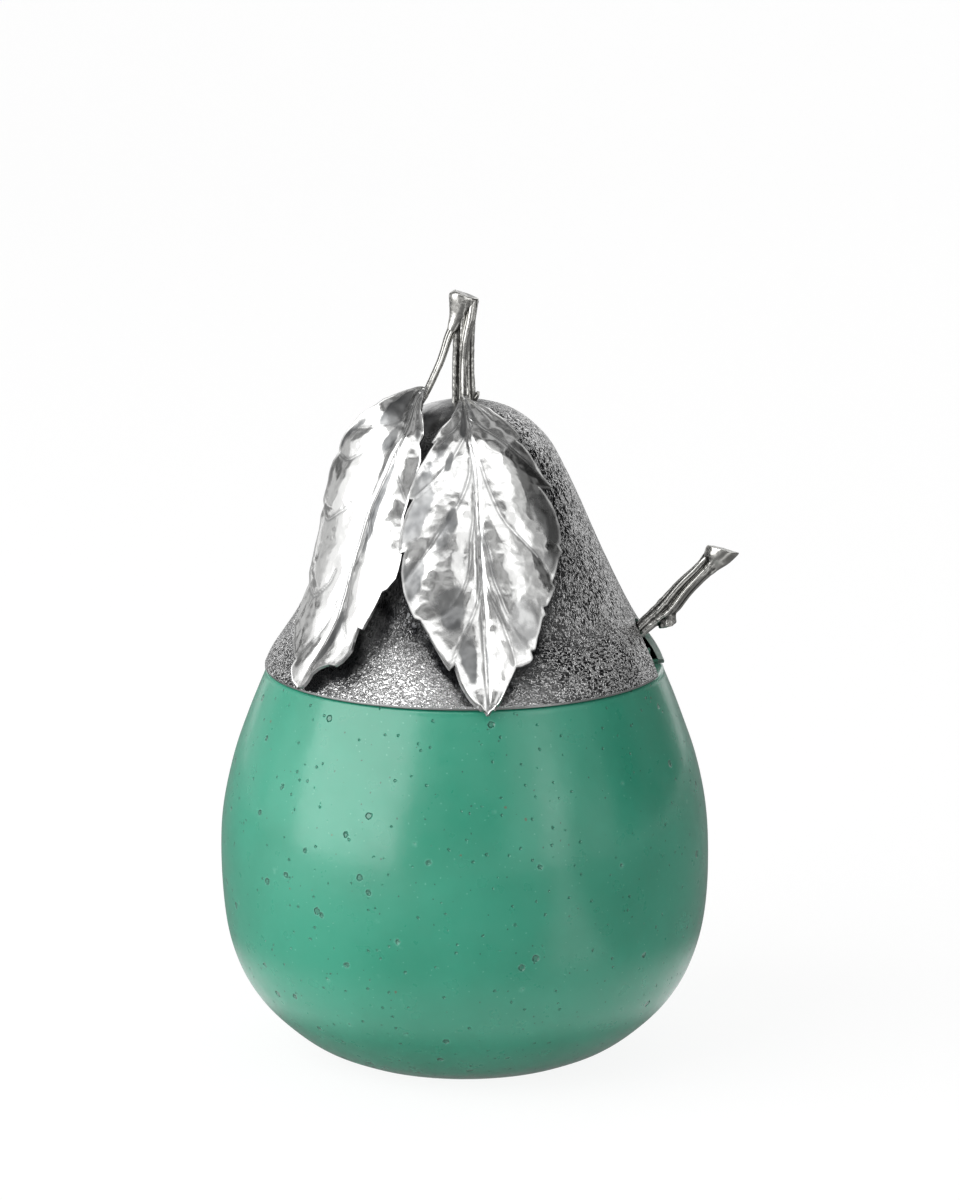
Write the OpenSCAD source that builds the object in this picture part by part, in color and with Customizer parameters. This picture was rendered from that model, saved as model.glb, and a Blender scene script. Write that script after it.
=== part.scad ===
/* [Jar] */
// Diameter of the jar at its belly
jar_d = 90; // [84:1:100]
// Height of the jar up to the shoulder that the lid stands on
jar_h = 72.5; // [68:0.5:80]
// Thickness of the glazed wall
jar_wall = 4.5; // [3:0.5:6]
// Thickness of the floor, from the foot ring's plane
jar_floor = 5.5; // [4.5:0.5:7]
// Diameter of the foot ring
foot_d = 46; // [42:1:50]
// Width of the foot ring
foot_ring_w = 4; // [3:0.5:5]
// Depth of the hollow under the foot
foot_recess = 1.2; // [0.6:0.2:2]
// Diameter of the mouth that the spoon goes through
mouth_d = 60; // [56:1:62]
// Depth of the straight wall inside the mouth, below the shoulder
mouth_depth = 3.5; // [2:0.5:5]
// Height of the collar that stands up inside the lid
collar_h = 3.2; // [2:0.2:3.4]
// Thickness of the collar
collar_w = 3; // [2:0.2:3.2]

/* [Lid] */
// Diameter of the lid at its rim
rim_d = 73.4; // [72:0.2:76]
// Height of the dome above the rim band
lid_h = 48.9; // [44:0.1:56]
// Thickness of the chased sheet
lid_wall = 1; // [0.8:0.1:1.2]
// Height of the plain band under the sheet's edge
band_h = 0.7; // [0.5:0.1:1.2]
// How far the band stands out past the sheet
band_lip = 0.1; // [0.05:0.05:0.3]
// Gap between the closed lid and the jar's shoulder
seat_gap = 0.1; // [0.05:0.05:0.2]
// Height of the bezel that guides the lid round the collar
bezel_h = 2.8; // [1.6:0.2:3]
// Thickness of the bezel's sheet
bezel_t = 0.8; // [0.6:0.1:1]
// Play between the bezel and the jar's collar
bezel_play = 0.4; // [0.3:0.05:0.6]
// Width of the notch that the spoon's handle passes through
notch_w = 11.8; // [10:0.2:14]
// Height of the notch above the shoulder
notch_h = 10.4; // [9.8:0.2:12]
// Direction of the notch, from the right-hand side towards the front
notch_turn = 7; // [0:1:20]

/* [Twig] */
// Height of the twig above the dome
twig_h = 20.4; // [16:0.2:26]
// Diameter of the twig at the middle
twig_d = 4.1; // [3.4:0.1:5]
// Depth that the twig's foot is let into the dome
twig_seat = 1.6; // [1.2:0.1:2]
// Diameter of each leaf stalk where it leaves the twig
stalk_d = 1.8; // [1.4:0.1:2.2]

/* [Leaves] */
// Thickness of the leaf sheet
leaf_t = 0.7; // [0.5:0.1:0.9]
// Farthest that a leaf stands off the lid
leaf_lift = 8; // [7:0.2:9]
// Height of the swelling in each half of a leaf
leaf_swell = 1.1; // [0.6:0.1:1.4]
// Height of the puckers between the side veins
leaf_pucker = 0.35; // [0:0.05:0.5]

/* [Spoon] */
// Diameter of the spoon's handle where it passes the notch
handle_d = 3; // [2.6:0.1:3.4]
// Length of the handle outside the lid, up to the middle of its cut end
handle_out = 19.5; // [16:0.5:26]
// Slant of the handle's cut end
end_slant = 38; // [20:1:50]
// Length of the bowl
bowl_l = 37; // [30:0.5:40]
// Width of the bowl
bowl_w = 24; // [18:0.5:26]
// Depth of the bowl
bowl_depth = 5.5; // [4:0.5:7]
// Thickness of the bowl's sheet
bowl_t = 0.9; // [0.7:0.1:1.2]
// Slope of the spoon, above the horizontal
spoon_slope = 45; // [44:0.5:46]
// Gap between the handle's underside and the jar's collar
spoon_gap = 0.3; // [0.3:0.05:0.6]
// Gap between the bowl and the jar's inside
bowl_gap = 1; // [0.6:0.1:2]

/* [Hidden] */
$fn = 96;

// Colours of the glaze and of the silver
glaze = [0.30, 0.66, 0.53];
silver = [0.80, 0.80, 0.79];
bright_silver = [0.90, 0.90, 0.89];
dark_silver = [0.55, 0.54, 0.52];

// One overrun serves every cut
cut_over = 1;
// Small step along a curve, as a share of it, for finding its direction
probe_share = 0.002;

// Radii
jar_r = jar_d / 2;
foot_r = foot_d / 2;
mouth_r = mouth_d / 2;
collar_r = mouth_r + collar_w;
rim_r = rim_d / 2;
collar_top = jar_h + collar_h;

// Heights of the lid's pieces
band_z = jar_h + seat_gap;
shell_z = band_z + band_h;
dome_z = shell_z + lid_h;
bezel_r = collar_r + bezel_play;

// Outside of the jar from the foot to below the shoulder, as shares of the belly's radius and the height
jar_shares = [[0.640, 0.036], [0.755, 0.090], [0.855, 0.155], [0.930, 0.235], [0.980, 0.340],
              [1.000, 0.480], [0.993, 0.625], [0.950, 0.762], [0.884, 0.883]];
// Outside of the dome from its edge to the top, as shares of the rim's radius and the dome's height
lid_shares = [[1.000, 0.000], [0.965, 0.055], [0.858, 0.174], [0.763, 0.310], [0.678, 0.448],
              [0.597, 0.586], [0.518, 0.716], [0.417, 0.852], [0.278, 0.947], [0.136, 0.988],
              [0.000, 1.000]];

// Steps along the turned outlines
jar_steps = 36;
lid_steps = 40;
// Roundness of the jar's shoulder and of its collar
shoulder_round = 0.8;
collar_round = 0.8;
round_steps = 4;

// A point on the smooth curve through the points p, with u from 0 at the first to 1 at the last
function curve_at(p, u) =
    let (last = len(p) - 1, x = min(u, 1) * last,
         i = min(max(floor(x), 0), last - 1), t = x - i,
         a = p[max(i - 1, 0)], b = p[i], c = p[i + 1], d = p[min(i + 2, last)])
    (2 * b + (c - a) * t + (2 * a - 5 * b + 4 * c - d) * t * t
        + (3 * b - a - 3 * c + d) * t * t * t) / 2;

// The direction square to a flat curve, on its right-hand side as u grows
function side_of(p, u) =
    let (d = curve_at(p, u + probe_share) - curve_at(p, u - probe_share))
    [d[1], -d[0]] / norm(d);

// Points of a quarter round about centre c, from one angle to another
function quarter(c, r, from, to) =
    [for (i = [0:round_steps])
        let (angle = from + (to - from) * i / round_steps)
        c + r * [cos(angle), sin(angle)]];

// Jar
jar_outline = concat([[foot_r, 0]],
                     [for (s = jar_shares) [s[0] * jar_r, s[1] * jar_h]],
                     [[rim_r, jar_h - shoulder_round]]);

// The inside follows the outside at the wall's thickness, between the floor and the mouth
mouth_z = jar_h - mouth_depth;
inside_top = mouth_z - jar_wall;
function jar_inside(u) = curve_at(jar_outline, u) - jar_wall * side_of(jar_outline, u);
jar_hollow = [for (i = [jar_steps:-1:1])
                 let (q = jar_inside(i / jar_steps))
                 if (q[1] > jar_floor && q[1] < inside_top) q];

module jar() {
    color(glaze)
    rotate_extrude()
    polygon(concat(
        [[foot_r - foot_ring_w, foot_recess], [foot_r - foot_ring_w, 0]],
        [for (i = [0:jar_steps]) curve_at(jar_outline, i / jar_steps)],
        quarter([rim_r - shoulder_round, jar_h - shoulder_round], shoulder_round, 15, 90),
        [[collar_r, jar_h]],
        quarter([collar_r - collar_round, collar_top - collar_round], collar_round, 0, 90),
        quarter([mouth_r + collar_round, collar_top - collar_round], collar_round, 90, 180),
        [[mouth_r, mouth_z]],
        jar_hollow,
        [[jar_hollow[len(jar_hollow) - 1][0] - jar_wall / 2, jar_floor], [0, jar_floor],
         [0, foot_recess]]));
}

// Lid
lid_outline = [for (s = lid_shares) [s[0] * rim_r, shell_z + s[1] * lid_h]];
function lid_inside(u) = curve_at(lid_outline, u) - lid_wall * side_of(lid_outline, u);
lid_hollow = [for (i = [lid_steps - 1:-1:1])
                 let (q = lid_inside(i / lid_steps))
                 if (q[1] > shell_z) q];

// Everything that the spoon's notch takes out of the lid
module notch_cutter() {
    arch_r = notch_w / 2;
    rotate([0, 0, -notch_turn])
    translate([mouth_r / 2, 0, jar_h]) {
        translate([0, -arch_r, -cut_over])
            cube([rim_r, notch_w, notch_h - arch_r + cut_over]);
        translate([0, 0, notch_h - arch_r])
            rotate([0, 90, 0])
            cylinder(r = arch_r, h = rim_r);
    }
}

module lid_shell() {
    color(silver)
    difference() {
        rotate_extrude()
        polygon(concat(
            [for (i = [0:lid_steps]) curve_at(lid_outline, i / lid_steps)],
            [[0, dome_z - lid_wall]],
            lid_hollow,
            [[rim_r - lid_wall, shell_z]]));
        notch_cutter();
    }
}

module rim_band() {
    color(bright_silver)
    difference() {
        translate([0, 0, band_z])
            cylinder(r = rim_r + band_lip, h = band_h);
        translate([0, 0, band_z - cut_over])
            cylinder(r = rim_r - lid_wall, h = band_h + 2 * cut_over);
        notch_cutter();
    }
}

// A flat bearer inside the band, with the bezel standing on its inner edge
module seat_ring() {
    color(silver)
    difference() {
        rotate_extrude()
        polygon([[bezel_r, band_z], [rim_r - lid_wall, band_z],
                 [rim_r - lid_wall, shell_z], [bezel_r + bezel_t, shell_z],
                 [bezel_r + bezel_t, band_z + bezel_h], [bezel_r, band_z + bezel_h]]);
        notch_cutter();
    }
}

// Swept stalks and twigs
function unit(v) = v / norm(v);
function path_dir(p, u) = unit(curve_at(p, min(u + probe_share, 1)) - curve_at(p, max(u - probe_share, 0)));

// A ring of points round a path: r is its radius, and flutes dent it by a share of the radius
function ring_at(p, u, r, side, sides, flutes, dent_share, twist) =
    let (c = curve_at(p, u), d = path_dir(p, u),
         across = unit(cross(d, side)), up = cross(across, d))
    [for (k = [0:sides - 1])
        let (angle = 360 * k / sides,
             rr = r * (1 - dent_share * (1 + cos(flutes * angle + twist * u)) / 2))
        c + rr * (cos(angle) * across + sin(angle) * up)];

// A closed skin over rings of equal size, with flat ends
module skin(rings) {
    n = len(rings[0]);
    m = len(rings);
    polyhedron(
        points = [for (ring = rings) each ring],
        faces = concat(
            [[for (k = [n - 1:-1:0]) k]],
            [for (i = [0:m - 2]) for (k = [0:n - 1]) each
                [[i * n + k, (i + 1) * n + (k + 1) % n, (i + 1) * n + k],
                 [i * n + k, i * n + (k + 1) % n, (i + 1) * n + (k + 1) % n]]],
            [[for (k = [0:n - 1]) (m - 1) * n + k]]));
}

// A round stick along a path, whose radius follows a table of shares of r
module stick(path, r, radius_shares, side, sides, rings, flutes = 0, dent_share = 0, twist = 0) {
    skin([for (i = [0:rings])
        let (u = i / rings)
        ring_at(path, u, r * curve_at(radius_shares, u), side, sides, flutes, dent_share, twist)]);
}

// The twig leans a little, and swells and rounds over at the cut end
twig_top = dome_z + twig_h;
twig_r = twig_d / 2;
twig_radius_shares = [1.30, 1.00, 0.96, 0.98, 1.06, 1.24, 1.30, 0.62];
twig_path = [[0, 0, dome_z - twig_seat],
             [-0.12 * twig_r, 0, dome_z + 0.18 * twig_h],
             [-0.12 * twig_r, 0, dome_z + 0.50 * twig_h],
             [-0.06 * twig_r, 0, dome_z + 0.80 * twig_h],
             [-0.10 * twig_r, 0, twig_top]];
twig_rings = 24;
twig_sides = 18;
twig_flutes = 5;
twig_dent_share = 0.22;
twig_twist = 70;
// Bud scar at the twig's foot
bud_path = [[0.7 * twig_r, -0.4 * twig_r, dome_z],
            [1.1 * twig_r, -0.5 * twig_r, dome_z + 0.04 * twig_h],
            [1.2 * twig_r, -0.5 * twig_r, dome_z + 0.09 * twig_h]];
bud_radius_shares = [0.45, 0.38, 0.15];

module twig() {
    color(dark_silver) {
        stick(twig_path, twig_r, twig_radius_shares, [0, 1, 0], twig_sides, twig_rings,
              twig_flutes, twig_dent_share, twig_twist);
        stick(bud_path, twig_r, bud_radius_shares, [0, 1, 0], 8, 4);
    }
}

// Leaves lie over the dome. A place on a leaf is a share of the way up the dome's outline,
// an angle from the front towards the right, and a share of leaf_lift off the dome.
function on_lid(place, drop) =
    let (q = curve_at(lid_outline, place[0])
             + (place[2] * leaf_lift - drop) * side_of(lid_outline, place[0]))
    [q[0] * sin(place[1]), -q[0] * cos(place[1]), q[1]];

// Front leaf, from stalk to tip: left edge, midrib, right edge
front_left_shares = [[0.87, -6, 0.33], [0.73, -19, 0.33], [0.59, -25, 0.48], [0.43, -25, 0.58],
                     [0.28, -19, 0.50], [0.13, -2, 0.24], [-0.05, 5.6, 0.15]];
front_mid_shares = [[0.89, -2, 0.33], [0.78, 2, 0.30], [0.69, 3, 0.32], [0.59, 4.5, 0.37],
                    [0.45, 5.5, 0.36], [0.27, 6.5, 0.28], [-0.06, 6.3, 0.15]];
front_right_shares = [[0.88, 3, 0.33], [0.74, 36, 0.27], [0.59, 45, 0.28], [0.44, 43, 0.28],
                      [0.31, 33, 0.26], [0.13, 15, 0.19], [-0.05, 7, 0.15]];
// Left leaf
left_left_shares = [[0.84, -56, 0.66], [0.74, -54, 0.98], [0.65, -70, 0.88], [0.51, -73, 0.68],
                    [0.36, -75, 0.36], [0.16, -66, 0.19], [0.00, -53.5, 0.16]];
left_mid_shares = [[0.85, -50, 0.62], [0.73, -37, 0.63], [0.65, -38, 0.66], [0.54, -42, 0.64],
                   [0.42, -44, 0.54], [0.23, -46, 0.36], [-0.01, -52.5, 0.16]];
left_right_shares = [[0.84, -44, 0.60], [0.74, -28, 0.51], [0.64, -24, 0.43], [0.49, -24, 0.40],
                     [0.35, -25, 0.48], [0.13, -37, 0.38], [0.00, -51.5, 0.16]];

// Places of the teeth along each edge, and how deep each cuts into the half leaf
front_left_teeth_shares = [0.15, 0.33, 0.50, 0.66, 0.80];
front_right_teeth_shares = [0.14, 0.27, 0.46, 0.62, 0.76];
left_left_teeth_shares = [0.20, 0.36, 0.52, 0.68, 0.88];
left_right_teeth_shares = [0.16, 0.32, 0.48, 0.64, 0.78];
tooth_base_share = 0.05;
tooth_tip_share = 0.17;

leaf_rows = 60;
leaf_columns = 7;
leaf_veins = 6;

// How far the edge reaches at s: it grows up to each tooth's point and then steps back
function margin_at(teeth, s) =
    let (before = [for (t = teeth) if (t < s) t], after = [for (t = teeth) if (t >= s) t],
         a = len(before) ? before[len(before) - 1] : 0, b = len(after) ? after[0] : 1,
         grown = (s - a) / (b - a),
         depth = len(before) ? tooth_base_share + (tooth_tip_share - tooth_base_share) * a : 0)
    1 - depth * (1 - grown);

// A place on the leaf, with t from -1 at the left edge over 0 at the midrib to 1 at the right edge
function leaf_place(rails, teeth, s, t) =
    let (right = t > 0, m = curve_at(rails[1], s), e = curve_at(rails[right ? 2 : 0], s),
         w = abs(t) * margin_at(teeth[right ? 1 : 0], s), body = sin(180 * pow(s, 0.8)),
         swell = leaf_swell * body * sin(180 * w),
         pucker = leaf_pucker * body * sin(180 * w) * cos(360 * leaf_veins * s),
         q = m + (e - m) * w)
    [q[0], q[1], q[2] + (swell - pucker) / leaf_lift];

module leaf(rails, teeth) {
    cols = 2 * leaf_columns;
    wide = cols + 1;
    side_points = (leaf_rows + 1) * wide;
    place = [for (i = [0:leaf_rows]) for (j = [0:cols])
                leaf_place(rails, teeth, i / leaf_rows, j / leaf_columns - 1)];
    top = [for (p = place) on_lid(p, 0)];
    under = [for (p = place) on_lid(p, leaf_t)];
    cells = [for (i = [0:leaf_rows - 1]) for (j = [0:cols - 1]) i * wide + j];
    edge = concat([for (j = [0:cols]) j],
                  [for (i = [1:leaf_rows]) i * wide + cols],
                  [for (j = [cols - 1:-1:0]) leaf_rows * wide + j],
                  [for (i = [leaf_rows - 1:-1:1]) i * wide]);
    n = len(edge);
    polyhedron(
        points = concat(top, under),
        faces = concat(
            [for (c = cells) each [[c, c + 1, c + wide + 1], [c, c + wide + 1, c + wide]]],
            [for (c = cells) each [[c + side_points, c + side_points + wide + 1, c + side_points + 1],
                                   [c + side_points, c + side_points + wide,
                                    c + side_points + wide + 1]]],
            [for (k = [0:n - 1])
                let (a = edge[k], b = edge[(k + 1) % n])
                each [[a, b + side_points, b], [a, a + side_points, b + side_points]]]));
}

module front_leaf() {
    color(bright_silver)
    leaf([front_left_shares, front_mid_shares, front_right_shares],
         [front_left_teeth_shares, front_right_teeth_shares]);
}

module left_leaf() {
    color(bright_silver)
    leaf([left_left_shares, left_mid_shares, left_right_shares],
         [left_left_teeth_shares, left_right_teeth_shares]);
}

// Each stalk leaves the twig near its top and runs on under its leaf as a rib
stalk_r = stalk_d / 2;
stalk_radius_shares = [1.25, 1.10, 0.95, 0.85, 0.80, 0.75, 0.55];
function under_leaf(rail, s) = on_lid(curve_at(rail, s), leaf_t + 0.4 * stalk_r);
left_stalk_path = [[-0.6 * twig_r, -0.3 * twig_r, twig_top - 0.10 * twig_h],
                   [-1.3 * twig_r, -0.6 * twig_r, twig_top - 0.24 * twig_h],
                   [-1.9 * twig_r, -1.0 * twig_r, twig_top - 0.42 * twig_h],
                   [-2.7 * twig_r, -1.6 * twig_r, twig_top - 0.63 * twig_h],
                   under_leaf(left_mid_shares, 0.02), under_leaf(left_mid_shares, 0.10),
                   under_leaf(left_mid_shares, 0.18)];
front_stalk_path = [[0.75 * twig_r, -0.45 * twig_r, twig_top - 0.09 * twig_h],
                    [0.55 * twig_r, -0.95 * twig_r, twig_top - 0.24 * twig_h],
                    [0.10 * twig_r, -1.10 * twig_r, twig_top - 0.45 * twig_h],
                    [-0.12 * twig_r, -1.20 * twig_r, twig_top - 0.70 * twig_h],
                    under_leaf(front_mid_shares, 0.01), under_leaf(front_mid_shares, 0.09),
                    under_leaf(front_mid_shares, 0.18)];
stalk_sides = 10;
stalk_rings = 26;

module left_stalk() {
    color(dark_silver)
    stick(left_stalk_path, stalk_r, stalk_radius_shares, [0, 1, 0], stalk_sides, stalk_rings);
}

module front_stalk() {
    color(dark_silver)
    stick(front_stalk_path, stalk_r, stalk_radius_shares, [1, 0, 0], stalk_sides, stalk_rings);
}

// Spoon. Its own frame has X along the handle, outwards, with 0 where the axis is level with the
// inner edge of the collar's top, and Z out of the bowl's open side.
handle_r = handle_d / 2;
spoon_lift = (handle_r + spoon_gap + collar_round) * cos(spoon_slope);
rest_x = mouth_r + collar_round - (handle_r + spoon_gap + collar_round) * sin(spoon_slope);
rest_z = collar_top - collar_round + spoon_lift;
notch_x = (rim_r - rest_x) * 0.55 / cos(spoon_slope);

// The bowl is a dished oval sheet: half its width at v along it, and its depth there
function bowl_half(v) = bowl_w / 2 * pow(sin(180 * pow(v, 0.86)), 0.62);
function bowl_edge(v) = 0.10 * bowl_w * pow(abs(v - 0.45), 2);
function bowl_z(v, t) =
    bowl_edge(v) - bowl_depth * pow(2 * bowl_half(v) / bowl_w, 0.8) * (1 - 0.55 * pow(t, 4) - 0.45 * pow(t, 2));

// Room between the jar's hollow and the bowl's underside, when the bowl's tip is at x on the spoon's axis
hollow_by_height = [for (q = jar_hollow) [q[1], q[0]]];
function room_at(x, y, z) = min(lookup(z, hollow_by_height) - norm([x, y]), z - jar_floor);
function bowl_room(x) =
    min([for (v = [0.02:0.08:0.98]) for (t = [0:0.25:1])
        let (along = x + bowl_l * v, under = bowl_z(v, t) - bowl_t)
        room_at(rest_x + along * cos(spoon_slope) - under * sin(spoon_slope), t * bowl_half(v),
                rest_z + along * sin(spoon_slope) + under * cos(spoon_slope))]);
// The bowl goes down the spoon's axis until that room is no more than bowl_gap
function bowl_stop(low, high, turns) =
    let (middle = (low + high) / 2)
    turns == 0 ? high
    : bowl_room(middle) > bowl_gap ? bowl_stop(low, middle, turns - 1)
    : bowl_stop(middle, high, turns - 1);
bowl_tip = bowl_stop(-jar_d - jar_h, -bowl_l, 16);
bowl_heel = bowl_tip + bowl_l;

module in_spoon_frame() {
    rotate([0, 0, -notch_turn])
    translate([rest_x, 0, rest_z])
    rotate([0, -spoon_slope, 0])
    children();
}

// The handle is a twig with a stub of a side shoot, and it flares to a slanted cut
handle_path = [[bowl_heel - 0.16 * bowl_l, 0, -0.12 * bowl_depth],
               [bowl_heel + 0.20 * bowl_l, 0, -0.02 * bowl_depth],
               [notch_x - 1.40 * handle_out, 0, 0],
               [notch_x - 0.60 * handle_out, 0, 0],
               [notch_x, 0, 0],
               [notch_x + 0.28 * handle_out, 0, -0.02 * handle_out],
               [notch_x + 0.52 * handle_out, 0, 0],
               [notch_x + 0.76 * handle_out, 0, 0],
               [notch_x + 0.96 * handle_out, 0, -0.02 * handle_out],
               [notch_x + 1.16 * handle_out, 0, -0.03 * handle_out]];
handle_radius_shares = [0.62, 0.74, 0.86, 0.94, 0.98, 1.34, 0.98, 0.96, 1.52, 2.05];
handle_sides = 18;
handle_rings = 54;
handle_flutes = 3;
handle_dent_share = 0.14;
handle_twist = 220;
shoot_path = [[notch_x + 0.30 * handle_out, 0, 0],
              [notch_x + 0.23 * handle_out, 0, -0.50 * handle_d],
              [notch_x + 0.16 * handle_out, 0, -1.05 * handle_d]];
shoot_radius_shares = [1.00, 1.02, 1.16];
shoot_sides = 13;
shoot_rings = 6;

module spoon_handle() {
    color(dark_silver)
    in_spoon_frame() {
        difference() {
            stick(handle_path, handle_r, handle_radius_shares, [0, 1, 0], handle_sides,
                  handle_rings, handle_flutes, handle_dent_share, handle_twist);
            translate([notch_x + handle_out, 0, -0.02 * handle_out])
                rotate([0, -end_slant, 0])
                translate([0, -handle_out / 2, -handle_out / 2])
                cube(handle_out);
        }
        stick(shoot_path, handle_r, shoot_radius_shares, [0, 1, 0], shoot_sides, shoot_rings);
    }
}

bowl_rows = 22;
bowl_columns = 14;
function bowl_point(v, t, drop) = [bowl_tip + bowl_l * v, t * bowl_half(v), bowl_z(v, t) - drop];

module spoon_bowl() {
    wide = bowl_columns + 1;
    tall = bowl_rows + 1;
    ends_share = 0.012;
    grid = [for (i = [0:bowl_rows]) for (j = [0:bowl_columns])
               [ends_share + (1 - 2 * ends_share) * i / bowl_rows, 2 * j / bowl_columns - 1]];
    top = [for (g = grid) bowl_point(g[0], g[1], 0)];
    under = [for (g = grid) bowl_point(g[0], g[1], bowl_t)];
    side_points = tall * wide;
    cells = [for (i = [0:bowl_rows - 1]) for (j = [0:bowl_columns - 1]) i * wide + j];
    edge = concat([for (j = [0:bowl_columns]) j],
                  [for (i = [1:bowl_rows]) i * wide + bowl_columns],
                  [for (j = [bowl_columns - 1:-1:0]) bowl_rows * wide + j],
                  [for (i = [bowl_rows - 1:-1:1]) i * wide]);
    n = len(edge);
    color(bright_silver)
    in_spoon_frame()
    polyhedron(
        points = concat(top, under),
        faces = concat(
            [for (c = cells) each [[c, c + 1, c + wide + 1], [c, c + wide + 1, c + wide]]],
            [for (c = cells) each [[c + side_points, c + side_points + wide + 1, c + side_points + 1],
                                   [c + side_points, c + side_points + wide,
                                    c + side_points + wide + 1]]],
            [for (k = [0:n - 1])
                let (a = edge[k], b = edge[(k + 1) % n])
                each [[a, b + side_points, b], [a, a + side_points, b + side_points]]]));
}

jar();
lid_shell();
rim_band();
seat_ring();
twig();
left_stalk();
front_stalk();
left_leaf();
front_leaf();
spoon_handle();
spoon_bowl();
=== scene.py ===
# %% [markdown]
# # A jam pot in the shape of a pear
#
# The pear's body is a glazed jar and its top is a silver lid. Two silver leaves hang from a twig
# on the lid, and the handle of the jam spoon comes out through a notch in the lid's edge. The
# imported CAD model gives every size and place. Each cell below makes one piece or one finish
# around it.

# %% Load the frame
import math
import bpy
import numpy as np
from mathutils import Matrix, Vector, noise
from mathutils.bvhtree import BVHTree
from mathutils.kdtree import KDTree


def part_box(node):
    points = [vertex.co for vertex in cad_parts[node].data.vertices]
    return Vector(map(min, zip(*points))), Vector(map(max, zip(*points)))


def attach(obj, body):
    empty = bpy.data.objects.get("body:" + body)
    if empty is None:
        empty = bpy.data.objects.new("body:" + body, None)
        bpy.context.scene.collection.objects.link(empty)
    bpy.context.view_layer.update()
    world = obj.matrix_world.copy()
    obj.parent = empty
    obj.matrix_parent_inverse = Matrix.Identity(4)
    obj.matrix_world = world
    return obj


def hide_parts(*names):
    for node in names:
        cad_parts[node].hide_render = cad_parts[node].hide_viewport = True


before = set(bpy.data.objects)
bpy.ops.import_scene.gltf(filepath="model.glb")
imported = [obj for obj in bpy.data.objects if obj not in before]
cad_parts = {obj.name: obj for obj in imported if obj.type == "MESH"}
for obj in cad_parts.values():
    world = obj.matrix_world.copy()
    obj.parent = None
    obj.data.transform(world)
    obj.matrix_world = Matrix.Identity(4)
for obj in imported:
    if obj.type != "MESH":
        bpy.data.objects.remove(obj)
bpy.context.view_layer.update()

MM = 0.001

# %% [markdown]
# The camera comes first. The photo was taken from a little above, with a long lens. The
# same view is a camera 1.1 m away, 12 degrees above the pot's middle. The lens length then
# sets how much of the frame the pot fills.

# %% The camera at the photograph's place
CAMERA_AIM = Vector((2.8, 0, 84.8)) * MM
CAMERA_DISTANCE = 1.10
CAMERA_RISE = math.radians(12.32)
SENSOR = 36
LENS = 179.64

camera_data = bpy.data.cameras.new("photo_camera")
camera_data.sensor_width = SENSOR
camera_data.lens = LENS
camera = bpy.data.objects.new("photo_camera", camera_data)
bpy.context.collection.objects.link(camera)
to_camera = Vector((0, -math.cos(CAMERA_RISE), math.sin(CAMERA_RISE)))
camera.location = CAMERA_AIM + to_camera * CAMERA_DISTANCE
camera.rotation_euler = to_camera.to_track_quat("Z", "Y").to_euler()
bpy.context.scene.camera = camera
bpy.context.scene.view_settings.view_transform = "Standard"
print("camera at", [round(v, 4) for v in camera.location], "m")

# %% [markdown]
# A studio is a floor, a backdrop and light. The floor here is one sheet whose back edge is
# pulled up and rounded, so no corner shows behind the pot. Its colour is nearly white. To the
# camera, and to what shines, most of its brightness is its own, so it stays white without more
# light on the pot, and the rest still takes the pot's shadow.

# %% Small helpers for selecting and editing
def deselect_all():
    """Leaves edit mode and selects nothing."""
    if bpy.context.mode != "OBJECT":
        bpy.ops.object.mode_set(mode="OBJECT")
    bpy.ops.object.select_all(action="DESELECT")


def pick(piece):
    """Makes one object the selected and active one."""
    deselect_all()
    piece.select_set(True)
    bpy.context.view_layer.objects.active = piece


def edit(piece, part="VERT"):
    """Opens a piece in edit mode with all of it selected."""
    pick(piece)
    bpy.ops.object.mode_set(mode="EDIT")
    bpy.ops.mesh.select_mode(type=part)
    bpy.ops.mesh.select_all(action="SELECT")


def settle(piece):
    """Leaves edit mode and puts the piece's place into its mesh."""
    pick(piece)
    bpy.ops.object.transform_apply(location=True, rotation=True, scale=True)
    return piece


def named(name):
    """Names the object that was just added."""
    piece = bpy.context.object
    piece.name = name
    piece.data.name = name
    return piece


def read(items, what, width=3, kind=float):
    """What a list of vertices, edges or faces holds, as an array with one row for each."""
    flat = np.empty(len(items) * width, kind)
    items.foreach_get(what, flat)
    return flat.reshape(-1, width)


def points_of(piece):
    """The vertices of a piece as an array."""
    return read(piece.data.vertices, "co")


def move_points(piece, points):
    """Puts the vertices of a piece where the array says."""
    piece.data.vertices.foreach_set("co", np.ascontiguousarray(points).ravel())
    piece.data.update()


def store(piece, label, values):
    """Keeps a number from 0 to 1 for each vertex, which a material can read by its label."""
    mask = piece.data.attributes.new(label, "FLOAT", "POINT")
    mask.data.foreach_set("value", np.clip(values, 0, 1))


def modify(piece, kind, **settings):
    """Adds a modifier to a piece and applies it at once."""
    pick(piece)
    modifier = piece.modifiers.new(kind.lower(), kind)
    for key, value in settings.items():
        setattr(modifier, key, value)
    bpy.ops.object.modifier_apply(modifier=modifier.name)


def combine(piece, other, operation):
    """Takes another closed piece out of this one, or joins it on as one skin."""
    modify(piece, "BOOLEAN", operation=operation, solver="EXACT", object=other)
    bpy.data.objects.remove(other)


def soften(piece, chosen, rounds):
    """Smooths only the chosen vertices of a piece."""
    group = piece.vertex_groups.new(name="softer")
    group.add([int(v) for v in np.where(chosen)[0]], 1.0, "REPLACE")
    modify(piece, "SMOOTH", factor=0.5, iterations=rounds, vertex_group="softer")


def triangles(piece):
    """How many triangles a piece has."""
    return sum(len(face.vertices) - 2 for face in piece.data.polygons)


def finish_mesh(piece, angle=40):
    """Turns the faces outwards, smooths the shading and says how large the piece is."""
    edit(piece)
    bpy.ops.mesh.normals_make_consistent(inside=False)
    pick(piece)
    bpy.ops.object.shade_smooth_by_angle(angle=math.radians(angle))
    print(piece.name, "has", triangles(piece), "triangles")
    return piece

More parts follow.
